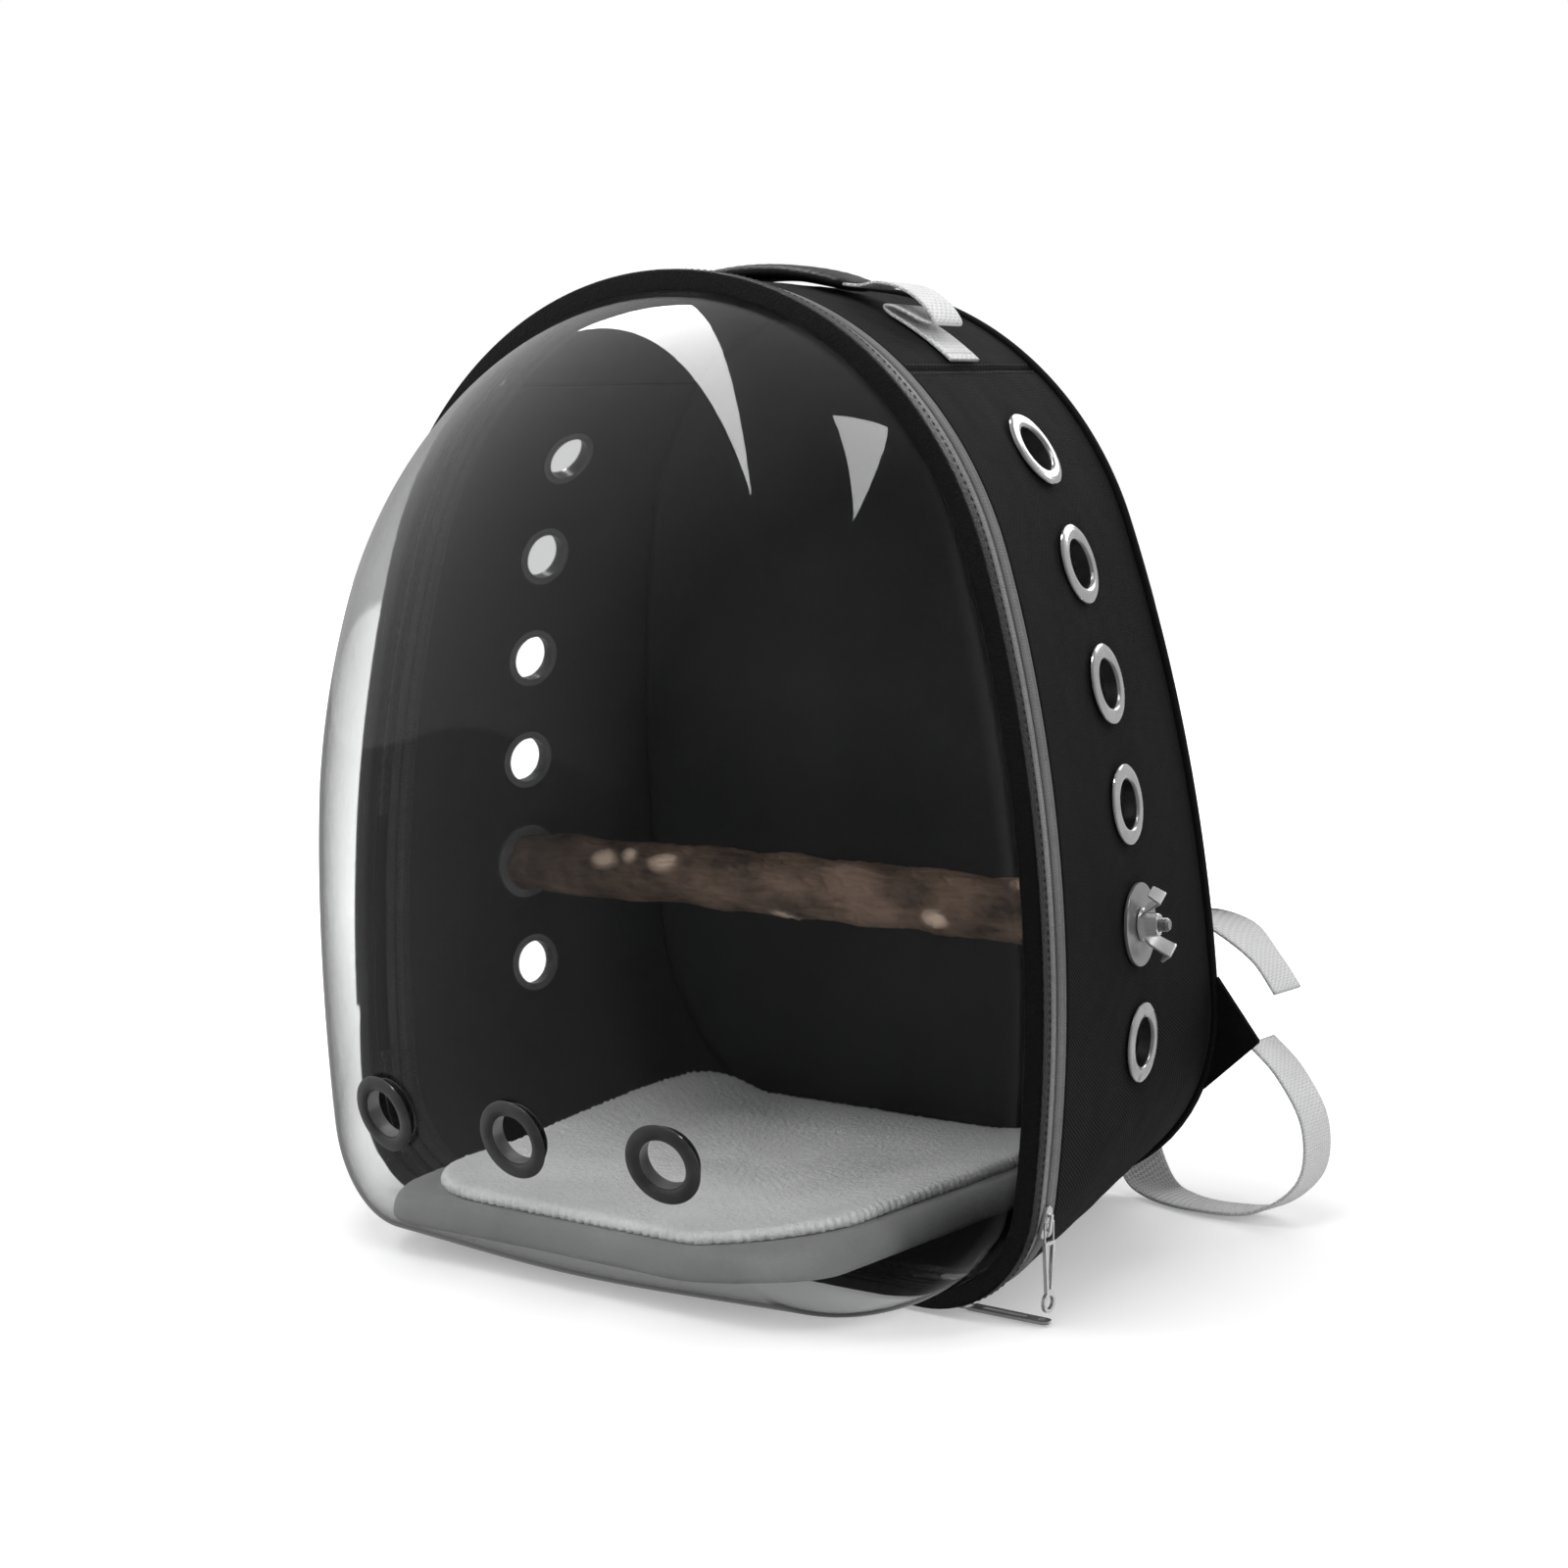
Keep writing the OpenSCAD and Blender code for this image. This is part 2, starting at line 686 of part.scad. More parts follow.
module top_panel() {
    color("#161616") place() wall_panel(seam_f + seam_gap, 8 - seam_f - seam_gap);
}

seam_gap = 0.002;
sag_edge = 0.88;
sag_across = [0, 0.1, 0.94, 1];

// The floor hangs down to the ground inside a narrow slope all round
module floor_panel() {
    function sag(f, t) = abs(f) > sag_edge || t == 0 || t == 1 ? 0 : floor_sag;
    function floor_grid(d) = [
        for (t = sag_across) [
            for (f = [1 - seam_gap, sag_edge, -sag_edge, seam_gap - 1])
                let (p = on_wall(f < 0 ? 8 + f : f, t, d)) [p[0], p[1], p[2] - sag(f, t)]
        ]
    ];
    color("#161616") place() slab_between(floor_grid(-wall), floor_grid(0));
}

// The back layers leave out the middle of the straight bottom, so that no three points line up
function rear_ring(d, y) = reversed([for (f = loop_steps) if (f > 0) at_rear(f, d, y)]);

module rear_piping() {
    color("#0c0c0c") place() skin([
        for (f = loop_steps) [
            at_rear(f, -wall - 0.5, -piping_depth), at_rear(f, piping_proud, -piping_depth),
            at_rear(f, piping_proud, 0), at_rear(f, -wall - 0.5, 0)
        ]
    ], closed = true);
}

// One layer of the back, between two depths measured from the back plane
module back_layer(y0, y1) {
    d = -wall - 0.5 - touch;
    skin([rear_ring(d, y0), rear_ring(d, y1)]);
}

panel_t = 2.6;
stiffener_t = 2;
lining_t = 1;
back_y = -0.4;

module back_panel() {
    color("#1b1b1b") place() back_layer(back_y - panel_t, back_y);
}

module back_board() {
    color("#d8d8d8") place()
        back_layer(back_y - panel_t - touch - stiffener_t, back_y - panel_t - touch);
}

module back_lining() {
    y1 = back_y - panel_t - stiffener_t - 2 * touch;
    color("#101010") place() back_layer(y1 - lining_t, y1);
}

// Three mesh pads down the middle of the back
back_pad_t = 7;
back_pad_rows = [[110, 178], [186, 254], [262, 330]];
back_pad_half = 44;

// Crowned cushion on the back panel, between two heights and two widths
module back_cushion(x0, x1, z0, z1) {
    n = 6;
    function crown(i, j) = pow(1 - pow(abs(2 * i / n - 1), 4), 0.5) * pow(1 - pow(abs(2 * j / n - 1), 4), 0.5);
    function grid(t) = [
        for (i = [0 : n]) [
            for (j = [0 : n])
                let (z = mix(z0, z1, i / n), x = mix(x0, x1, j / n))
                [x, rear_y(z) + back_y + touch + t * (0.15 + 0.85 * crown(i, j)), z]
        ]
    ];
    slab_between(grid(back_pad_t), grid(0));
}

module back_pads() {
    color("#262626") place() for (row = back_pad_rows)
        back_cushion(-back_pad_half, back_pad_half, row[0], row[1]);
}

// Floor and mat

board_from = 0.12;
board_to = 0.92;
board_share = 0.84;
floor_top = ground_gap - floor_sag + wall + touch;

// Flat plate that fits inside the sagging floor
module floor_plate(z0, z1) {
    translate([0, 0, z0]) linear_extrude(z1 - z0) polygon([
        for (c = [[board_from, -1], [board_from, 1], [board_to, 1], [board_to, -1]])
            let (p = on_wall(1, c[0])) [c[1] * p[0] * board_share, p[1]]
    ]);
}

module floor_board() {
    color("#3a3a3a") place() floor_plate(floor_top, floor_top + board_t);
}

pad_z = floor_top + board_t + touch;

module floor_pad() {
    color("#202020") place() floor_plate(pad_z, pad_z + pad_t);
}

mat_z = max(pad_z + pad_t + touch, ground_gap + binding_in + touch);
mat_front_r = 58;
mat_back_r = 26;
mat_cols = 14;
mat_rows = 20;

// Height of the shell's inner face over a point of the floor
function cradle(x, y) =
    let (
        t = max(0, min(1, y / depth_low)),
        cx = mix(corner_cx(front_arch), corner_cx(rear_arch), t),
        r = mix(corner_r, back_corner_r, t),
        dx = max(0, abs(x) - cx)
    )
    ground_gap + r - sqrt(max(0, pow(r - wall, 2) - dx * dx));

function mat_half(y) =
    let (
        front_in = max(0, -mat_front + mat_front_r - y),
        back_in = max(0, y - mat_back + mat_back_r)
    )
    mat_half_w
        - mat_front_r + sqrt(max(0, mat_front_r * mat_front_r - front_in * front_in))
        - mat_back_r + sqrt(max(0, mat_back_r * mat_back_r - back_in * back_in));

// The mat curls up where it meets the wall, most of all at its left back corner
function mat_curl(x, y) =
    12 * ramp(-x, 70, mat_half_w) * ramp(y, -20, 120) + 6 * ramp(x, 50, mat_half_w)
        + 2 * ramp(y, 120, mat_back);

module plush_mat() {
    function mat_grid(up, sink, inset) = [
        for (i = [0 : mat_rows])
            let (y = mix(-mat_front, mat_back, i / mat_rows)) [
                for (j = [0 : mat_cols])
                    let (
                        s = 2 * j / mat_cols - 1,
                        x = -s * mat_half(y),
                        low = max(mat_z + mat_curl(x, y), cradle(x, y) + 1),
                        edge = pow(max(abs(s), abs(2 * i / mat_rows - 1)), 8)
                    )
                    [x * (1 - inset / mat_half_w), y + inset * (1 - 2 * i / mat_rows), low + up - sink * edge]
            ]
    ];
    color("#c9c9c9") place() slab_between(mat_grid(mat_t, 3, mat_slope), mat_grid(0, 0, 0));
}

// Perch

perch_n = wall_out(perch_f, row_across);
perch_p = on_wall(perch_f, row_across);
perch_end = perch_p - perch_n * (wall + washer_t + 3 * touch);
perch_sides = 12;
perch_cuts = 26;
bolt_in_wood = 26;
nut_h = 8;
bolt_out = washer_t + 2 * touch + nut_h + 4;

// Radius of the bark at an angle and a place along the branch, with its knots and ridges
function bark(angle, s) =
    perch_r + 0.5 * sin(3 * angle + 260 * s) + 0.45 * sin(5 * angle - 900 * s)
        + 0.5 * sin(1400 * s + 2 * angle);
// The branch is nearly straight
function perch_y(s) = perch_p[1] + 1.6 * sin(180 * s) * (1 - s * s);
function perch_z(s) = perch_p[2] + 1.4 * cos(140 * s) * (1 - s * s);

// Where a line along the branch meets the plane of the inner washer
function perch_reach(y, z) =
    perch_end[0] - (perch_n[1] * (y - perch_end[1]) + perch_n[2] * (z - perch_end[2])) / perch_n[0];

module perch_branch() {
    color("#6b4a3a") place() difference() {
        skin([
            for (k = [0 : perch_cuts])
                let (s = 2 * k / perch_cuts - 1) [
                    for (i = [0 : perch_sides - 1])
                        let (
                            a = 360 * i / perch_sides,
                            y = perch_y(s) + bark(a, s) * cos(a),
                            z = perch_z(s) + bark(a, s) * sin(a)
                        )
                        [s * perch_reach(y, z), y, z]
                ]
        ]);
        bolt_hole();
        left_side() bolt_hole();
    }
}

module bolt_hole() {
    seat_on_wall(perch_f, row_across) translate([0, 0, -wall - washer_t - bolt_in_wood - 1])
        cylinder(r = bolt_r + 0.05, h = bolt_in_wood + 1, $fn = 48);
}

module perch_bolt() {
    seat_on_wall(perch_f, row_across) translate([0, 0, -wall - washer_t - bolt_in_wood]) {
        cylinder(r = bolt_r, h = wall + washer_t + bolt_in_wood + bolt_out - 0.8, $fn = 48);
        translate([0, 0, wall + washer_t + bolt_in_wood + bolt_out - 0.8])
            cylinder(r1 = bolt_r, r2 = bolt_r - 0.7, h = 0.8, $fn = 48);
    }
}

module perch_bolt_right() {
    color("silver") place() perch_bolt();
}

module perch_bolt_left() {
    color("silver") place() left_side() perch_bolt();
}

module clamp_washer() {
    difference() {
        cylinder(r = washer_r, h = washer_t, $fn = 64);
        translate([0, 0, -1]) cylinder(r = bolt_r + running, h = washer_t + 2, $fn = 48);
    }
}

module inner_washers() {
    color("silver") place() for (m = [0, 1]) mirror([m, 0, 0])
        seat_on_wall(perch_f, row_across) translate([0, 0, -wall - touch - washer_t]) clamp_washer();
}

module outer_washers() {
    color("silver") place() for (m = [0, 1]) mirror([m, 0, 0])
        seat_on_wall(perch_f, row_across) translate([0, 0, touch]) clamp_washer();
}

wing_span = 17;
// Wing nut, seated on the outer washer
module wing_nut() {
    seat_on_wall(perch_f, row_across) translate([0, 0, washer_t + 2 * touch]) difference() {
        union() {
            cylinder(r1 = 7.2, r2 = 5.4, h = nut_h, $fn = 48);
            for (turn = [20, 200]) rotate([0, 0, turn]) translate([0, 1.1, 0]) rotate([90, 0, 0])
                linear_extrude(2.2) polygon([
                    [4, 1.2], [8, 1.6], [13, 6], [wing_span, 12], [wing_span - 0.4, 14.6],
                    [wing_span - 3, 15.4], [wing_span - 6.2, 12.6], [8.4, 8.2], [4, 7.4]
                ]);
        }
        translate([0, 0, -1]) cylinder(r = bolt_r + 0.05, h = nut_h + 2, $fn = 48);
    }
}

module wing_nut_right() {
    color("silver") place() wing_nut();
}

module wing_nut_left() {
    color("silver") place() left_side() wing_nut();
}

// Webbing, handle and straps

// Smooth curve through points, with as many steps between each two
function spline_point(p0, p1, p2, p3, t) =
    0.5 * (2 * p1 + (p2 - p0) * t + (2 * p0 - 5 * p1 + 4 * p2 - p3) * t * t
        + (3 * p1 - p0 - 3 * p2 + p3) * t * t * t);
function curve(p, steps) = [
    for (i = [0 : len(p) - 2]) for (k = [0 : steps - 1])
        spline_point(p[max(0, i - 1)], p[i], p[i + 1], p[min(len(p) - 1, i + 2)], k / steps),
    p[len(p) - 1]
];

// Flat band of one thickness between two edges
module band(a, b, t) {
    last = len(a) - 1;
    skin([
        for (i = [0 : last])
            let (
                along = unit(a[min(last, i + 1)] + b[min(last, i + 1)] - a[max(0, i - 1)] - b[max(0, i - 1)]),
                n = unit(cross(along, b[i] - a[i])) * t / 2
            )
            [a[i] - n, b[i] - n, b[i] + n, a[i] + n]
    ]);
}

handle_across = 0.47;
// Half the webbing's width as a share of the wall's depth at the top
half_share = webbing_w / 2 / (depth_top - wall_start - piping_depth);
mid_r = mix(top_r(front_arch), top_r(rear_arch), handle_across);

// A place over the top, from a distance along it and a height above it
function over_top(s, h, t) = on_wall(4 - s / mid_r * 180 / PI / (90 - side_end(front_arch)), t, h);

grip_lift = 1.2;
grip_sections = 12;
grip_w = 31;

module handle_grip() {
    corners = [[-1, -0.45], [-0.88, -1], [0.88, -1], [1, -0.45], [1, 0.3], [0.7, 0.86], [0.3, 1], [-0.3, 1],
               [-0.7, 0.86], [-1, 0.3]];
    color("#141414") place() skin([
        for (k = [0 : grip_sections])
            let (
                s = 1 - 2 * k / grip_sections,
                end = pow(abs(s), 10),
                half = grip_w / 2 / (depth_top - wall_start - piping_depth)
            ) [
                for (c = reversed(corners))
                    over_top(s * grip_half, grip_lift + grip_t / 2 * (1 + c[1] * (1 - 0.3 * end)),
                             handle_across + c[0] * half * (1 - 0.12 * end))
            ]
    ]);
}

// The webbing leaves the grip, doubles back twice and is sewn flat to the top:
// distance along the top, and height above it
handle_route = [
    [grip_half + touch, grip_lift + grip_t / 2], [53, 6.4], [61, 10.8], [72, 13.2], [83, 12.2], [90, 8.8],
    [85, 6.3], [76, 5.4], [70, 4.6], [67, 3], [71, 1.5], [82, 1.4], [94, 1.4], [105, 1.4]
];

module handle_webbing() {
    route = curve(handle_route, 3);
    band([for (p = route) over_top(p[0], p[1], handle_across - half_share)],
         [for (p = route) over_top(p[0], p[1], handle_across + half_share)], webbing_t);
}

module handle_webbing_right() {
    color("#b8b8b8") place() handle_webbing();
}

module handle_webbing_left() {
    color("#b8b8b8") place() left_side() handle_webbing();
}

// Patch that holds both pads' upper ends to the back panel
anchor_z = frame_h - 41;
anchor_w = 130;
anchor_h = 20;
anchor_t = 9.6;
anchor_stand = 0.4;

// Shoulder pad: place across, height, and distance behind the back panel
pad_route = [
    [36, anchor_z - 21, 5.6], [46, anchor_z - 51, 13], [62, 280, 19],
    [80, 230, 20], [92, 180, 18], [97, 133.4, 13]
];

module shoulder_pad() {
    path = curve(pad_route, 4);
    corners = [[-1, -0.2], [-0.86, -1], [0.86, -1], [1, -0.2], [0.86, 0.7], [0.45, 1], [-0.45, 1], [-0.86, 0.7]];
    last = len(path) - 1;
    skin([
        for (i = [0 : last])
            let (
                p = path[i],
                d = path[min(last, i + 1)] - path[max(0, i - 1)],
                across = unit([d[1], -d[0]]) * pad_w / 2 * (1 - 0.18 * ramp(i / last, 0.75, 1)),
                t = strap_pad_t / 2
            ) [
                for (c = reversed(corners))
                    let (x = p[0] - c[0] * across[0], z = p[1] - c[0] * across[1])
                    [x, rear_y(z) + p[2] + c[1] * t, z]
            ]
    ]);
}

module shoulder_pad_right() {
    color("#1a1a1a") place() shoulder_pad();
}

module shoulder_pad_left() {
    color("#1a1a1a") place() left_side() shoulder_pad();
}

module strap_anchor() {
    lean = atan((depth_low - depth_top) / frame_h);
    color("#111111") place() translate([0, rear_y(anchor_z) + anchor_t / 2 + anchor_stand, anchor_z])
        rotate([lean, 0, 0]) cube([anchor_w, anchor_t, anchor_h], center = true);
}

lock_w = 34;
lock_h = 26;
lock_t = 4;
lock_z = 118;
lock_x = 98;
lock_y = rear_y(lock_z) + 13;

module ladder_lock() {
    lean = atan((depth_low - depth_top) / frame_h);
    translate([lock_x, lock_y, lock_z]) rotate([lean, 0, 0]) difference() {
        cube([lock_w, lock_t, lock_h], center = true);
        for (z = [-6.5, 5.5]) translate([0, 0, z]) cube([webbing_w + 1, 2 * lock_t, 5], center = true);
    }
}

module ladder_lock_right() {
    color("#0e0e0e") place() ladder_lock();
}

module ladder_lock_left() {
    color("#0e0e0e") place() left_side() ladder_lock();
}

// Adjusting strap: middle line of the slack loop from the tab to the ladder lock, and its tail
loop_route = [
    [171, rear_y(82) - 0.5 + touch + webbing_w / 2, 82], [184, 200, 68], [195, 203, 46], [194, 202, 22], [176, 198, 6], [150, 197, 2.4],
    [124, 203, 2.4], [108, 208, 9], [100, 206, 34], [98, 198, 70], [lock_x, rear_y(104.5) + 13, 104.5]
];
tail_route = [
    [lock_x, lock_y + lock_t / 2 + touch, 121], [104, 203, 134], [122, 212, 136], [146, 212, 130],
    [166, 208, 118], [180, 204, 104]
];

// Webbing along a route, which turns from lying flat against the back to standing on edge
module turning_webbing(route, turn_from, turn_to) {
    path = curve(route, 3);
    last = len(path) - 1;
    half = [
        for (i = [0 : last])
            let (turn = mix(turn_from, turn_to, ramp(i / last, 0.3, 0.85)))
            [sin(turn), cos(turn), 0] * webbing_w / 2
    ];
    band([for (i = [0 : last]) path[i] - half[i]], [for (i = [0 : last]) path[i] + half[i]], webbing_t);
}

module strap_webbing() {
    turning_webbing(loop_route, 0, 90);
    turning_webbing(tail_route, 90, 0);
}

module strap_webbing_right() {
    color("#b8b8b8") place() strap_webbing();
}

module strap_webbing_left() {
    color("#b8b8b8") place() left_side() strap_webbing();
}

tab_low_z = 58;
tab_high_z = 112;
tab_tip = [178, 84];
tab_t = 2.4;

// Triangle of doubled fabric, sewn into the rear seam
module strap_tab() {
    d = piping_proud + touch;
    edge = [
        for (f = steps_between(1.45, place_at(rear_arch, tab_high_z)))
            let (p = arch(rear_arch, f, d)) if (p[1] >= tab_low_z) p
    ];
    outline = concat(edge, [tab_tip]);
    skin([
        for (y = [-0.5 - tab_t, -0.5])
            [for (p = outline) [p[0], rear_y(p[1]) + y, p[1]]]
    ]);
}

module strap_tab_right() {
    color("#121212") place() strap_tab();
}

module strap_tab_left() {
    color("#121212") place() left_side() strap_tab();
}

clear_dome();
dome_binding();
dome_eyelets();
dome_eyelet_washers();
zip_tape_door();
zip_coil_door();
hinge_strip_door();
zip_tape_shell();
zip_coil_shell();
hinge_strip_shell();
zip_slider_upper();
zip_pull_upper();
zip_slider_lower();
zip_pull_lower();
front_facing();
front_hoop();
right_panel();
left_panel();
top_panel();
floor_panel();
rear_piping();
back_panel();
back_board();
back_lining();
back_pads();
floor_board();
floor_pad();
plush_mat();
right_eyelets();
left_eyelets();
right_eyelet_washers();
left_eyelet_washers();
perch_branch();
perch_bolt_right();
perch_bolt_left();
inner_washers();
outer_washers();
wing_nut_right();
wing_nut_left();
handle_grip();
handle_webbing_right();
handle_webbing_left();
strap_anchor();
shoulder_pad_right();
shoulder_pad_left();
ladder_lock_right();
ladder_lock_left();
strap_webbing_right();
strap_webbing_left();
strap_tab_right();
strap_tab_left();
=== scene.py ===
import math

import bmesh
import bpy
from mathutils import Matrix, Vector, noise


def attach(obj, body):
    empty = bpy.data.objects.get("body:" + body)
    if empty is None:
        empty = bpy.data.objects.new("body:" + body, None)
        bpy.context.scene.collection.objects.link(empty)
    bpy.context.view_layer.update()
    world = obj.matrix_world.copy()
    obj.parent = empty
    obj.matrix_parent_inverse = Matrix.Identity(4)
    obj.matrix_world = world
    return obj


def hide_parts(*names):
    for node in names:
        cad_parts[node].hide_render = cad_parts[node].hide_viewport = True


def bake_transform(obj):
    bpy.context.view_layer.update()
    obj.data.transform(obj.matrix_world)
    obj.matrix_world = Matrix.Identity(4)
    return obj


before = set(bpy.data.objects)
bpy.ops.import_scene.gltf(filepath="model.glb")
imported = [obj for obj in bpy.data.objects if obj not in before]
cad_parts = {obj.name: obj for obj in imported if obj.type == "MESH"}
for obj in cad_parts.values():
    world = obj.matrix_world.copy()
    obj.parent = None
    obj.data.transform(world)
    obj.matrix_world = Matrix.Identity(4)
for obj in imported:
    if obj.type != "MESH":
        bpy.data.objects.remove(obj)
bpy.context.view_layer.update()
scene = bpy.context.scene
scene.view_settings.view_transform = "Standard"

# CAMERA
# A long lens from the door's side, a little above the middle of the carrier
camera_place = Vector((0.75474, -0.97977, 0.32876))
camera_target = Vector((0.05287, -0.043, 0.20559))
camera_data = bpy.data.cameras.new("camera")
camera_data.lens = 65.76
camera_data.sensor_width = 36
camera = bpy.data.objects.new("camera", camera_data)
camera.location = camera_place
camera.rotation_euler = (camera_target - camera_place).to_track_quat("-Z", "Y").to_euler()
scene.collection.objects.link(camera)
scene.camera = camera


# STUDIO
# A white paper floor and white surroundings, under large soft boxes: one overhead, one tall
# one on the door's left and one on its right.
def add_node(tree, kind, inputs=(), **settings):
    made = tree.nodes.new("ShaderNode" + kind)
    for key, value in settings.items():
        setattr(made, key, value)
    for key, value in dict(inputs).items():
        if isinstance(value, bpy.types.NodeSocket):
            tree.links.new(value, made.inputs[key])
        else:
            made.inputs[key].default_value = value
    return made


def sum_of(tree, values, operation="ADD"):
    total = values[0]
    for value in values[1:]:
        total = add_node(tree, "Math", {0: total, 1: value}, operation=operation).outputs[0]
    return total


def new_material(name):
    made = bpy.data.materials.new(name)
    made.use_nodes = True
    return made, made.node_tree, made.node_tree.nodes["Principled BSDF"]


def mirrored_rays(tree):
    depth = add_node(tree, "LightPath").outputs["Glossy Depth"]
    return add_node(tree, "Math", {0: depth, 1: 0.5}, operation="GREATER_THAN").outputs[0]


def seen_rays(tree):
    path = add_node(tree, "LightPath").outputs
    return sum_of(tree, [path["Is Camera Ray"], path["Is Transmission Ray"]], "MAXIMUM")


floor_mesh = bpy.data.meshes.new("floor")
floor_shape = bmesh.new()
bmesh.ops.create_grid(floor_shape, x_segments=2, y_segments=2, size=6)
floor_shape.to_mesh(floor_mesh)
floor_shape.free()
floor = bpy.data.objects.new("floor", floor_mesh)
scene.collection.objects.link(floor)
floor.visible_glossy = False
paper, paper_tree, paper_bsdf = new_material("floor_paper")
paper_bsdf.inputs["Base Color"].default_value = (0.86, 0.86, 0.86, 1)
paper_bsdf.inputs["Roughness"].default_value = 1
paper_bsdf.inputs["Specular IOR Level"].default_value = 0
paper_spot = add_node(paper_tree, "TexCoord").outputs["Object"]
paper_reach = add_node(paper_tree, "VectorMath", {0: paper_spot}, operation="LENGTH").outputs["Value"]
paper_rise = add_node(paper_tree, "MapRange", {0: paper_reach, 1: 0.4, 2: 1.0, 3: 0.3, 4: 1.0}).outputs[0]
paper_glow = add_node(paper_tree, "Emission", {"Color": (1, 1, 1, 1), "Strength": paper_rise})
paper_dark = add_node(paper_tree, "Emission", {"Color": (0, 0, 0, 1), "Strength": 0})
paper_lift = add_node(
    paper_tree, "MixShader", {0: seen_rays(paper_tree), 1: paper_dark.outputs[0], 2: paper_glow.outputs[0]}
)
paper_sum = add_node(paper_tree, "AddShader", {0: paper_bsdf.outputs[0], 1: paper_lift.outputs[0]})
paper_dim = add_node(paper_tree, "Emission", {"Color": (1, 1, 1, 1), "Strength": 0.05})
paper_way = add_node(
    paper_tree, "MixShader", {0: mirrored_rays(paper_tree), 1: paper_sum.outputs[0], 2: paper_dim.outputs[0]}
)
paper_tree.links.new(paper_way.outputs[0], paper_tree.nodes["Material Output"].inputs["Surface"])
floor_mesh.materials.append(paper)

world = bpy.data.worlds.new("world")
world.use_nodes = True
scene.world = world
world_tree = world.node_tree
room_light = world_tree.nodes["Background"]
room_light.inputs["Color"].default_value = (1, 1, 1, 1)
room_light.inputs["Strength"].default_value = 0.42
white = add_node(world_tree, "Background", {"Color": (1, 1, 1, 1), "Strength": 1.0})
world_way = add_node(world_tree, "TexCoord").outputs["Generated"]
world_glow = []
for way, low, high, glow in (((-0.8, 0.15, 0.5), -0.1, 0.9, 0.45), ((0.25, 1, 0), 0.45, 0.85, 0.6)):
    side = add_node(world_tree, "VectorMath", {0: world_way, 1: way}, operation="DOT_PRODUCT").outputs["Value"]
    world_glow.append(add_node(world_tree, "MapRange", {0: side, 1: low, 2: high, 3: 0.04, 4: glow}).outputs[0])
world_glow = sum_of(world_tree, world_glow, "MAXIMUM")
mirrored_room = add_node(world_tree, "Background", {"Color": (1, 1, 1, 1), "Strength": world_glow})
beyond = add_node(world_tree, "Background", {"Color": (1, 1, 1, 1), "Strength": 0.66})
world_path = add_node(world_tree, "LightPath").outputs
world_shader = room_light
for share, seen in ((world_path["Is Transmission Ray"], beyond), (mirrored_rays(world_tree), mirrored_room),
                    (world_path["Is Camera Ray"], white)):
    world_shader = add_node(world_tree, "MixShader", {0: share, 1: world_shader.outputs[0], 2: seen.outputs[0]})
world_tree.links.new(world_shader.outputs[0], world_tree.nodes["World Output"].inputs["Surface"])


def soft_box(name, place, target, width, height, power, mirrored=True):
    lamp = bpy.data.lights.new(name, "AREA")
    lamp.shape = "RECTANGLE"
    lamp.size = width
    lamp.size_y = height
    lamp.energy = power
    made = bpy.data.objects.new(name, lamp)
    made.location = place
    made.visible_glossy = mirrored
    made.visible_transmission = mirrored
    made.rotation_euler = (Vector(target) - Vector(place)).to_track_quat("-Z", "Y").to_euler()
    scene.collection.objects.link(made)


soft_box("box_over", (-0.15, -0.35, 1.75), (0, 0, 0.2), 1.3, 0.9, 16, False)
soft_box("box_left", (-1.5, -1.2, 0.95), (0, 0, 0.25), 0.55, 1.5, 12, False)
soft_box("box_right", (1.9, -0.25, 0.85), (0.1, 0, 0.22), 0.35, 1.3, 9, False)
soft_box("box_back", (0.2, 1.7, 1.3), (0, 0, 0.25), 1.4, 0.9, 10)


def light_card(name, corners, strength):
    """A lit card that only mirrors in shiny surfaces"""
    mesh = bpy.data.meshes.new(name)
    mesh.from_pydata(corners, [], [tuple(range(len(corners)))])
    card = bpy.data.objects.new(name, mesh)
    scene.collection.objects.link(card)
    glow, tree, _ = new_material(name + "_glow")
    lit = add_node(tree, "Emission", {"Color": (1, 1, 1, 1), "Strength": strength})
    tree.links.new(lit.outputs[0], tree.nodes["Material Output"].inputs["Surface"])
    mesh.materials.append(glow)
    for ray in ("camera", "diffuse", "transmission", "volume_scatter", "shadow"):
        setattr(card, "visible_" + ray, False)


light_card("card_left", [(-1.098, 0.52, 1.238), (-0.726, 0.539, 1.543), (0.604, -0.73, 1.594)], 11)
light_card("card_right", [(0.559, 0.039, 1.779), (0.78, 0.34, 1.7), (1.165, -0.281, 1.378)], 8)

# SHELL WALLS
# The body is a hoop of black woven polyester over thin foam: a right and a left panel that
# run up from the floor, and one over the top, sewn edge to edge. It is lined in dark grey.
MM = 0.001
ZIP_Y = -43
GROUND_GAP = 4
WAIST_Z = 119
FRAME_H = 414
DEPTH_LOW = 199
DEPTH_TOP = 124
WALL = 2.5
TOUCH = 0.3
PIPING_DEPTH = 4
WALL_START = 7.3
WALL_END = -PIPING_DEPTH - TOUCH
SEAM_F = 3.43


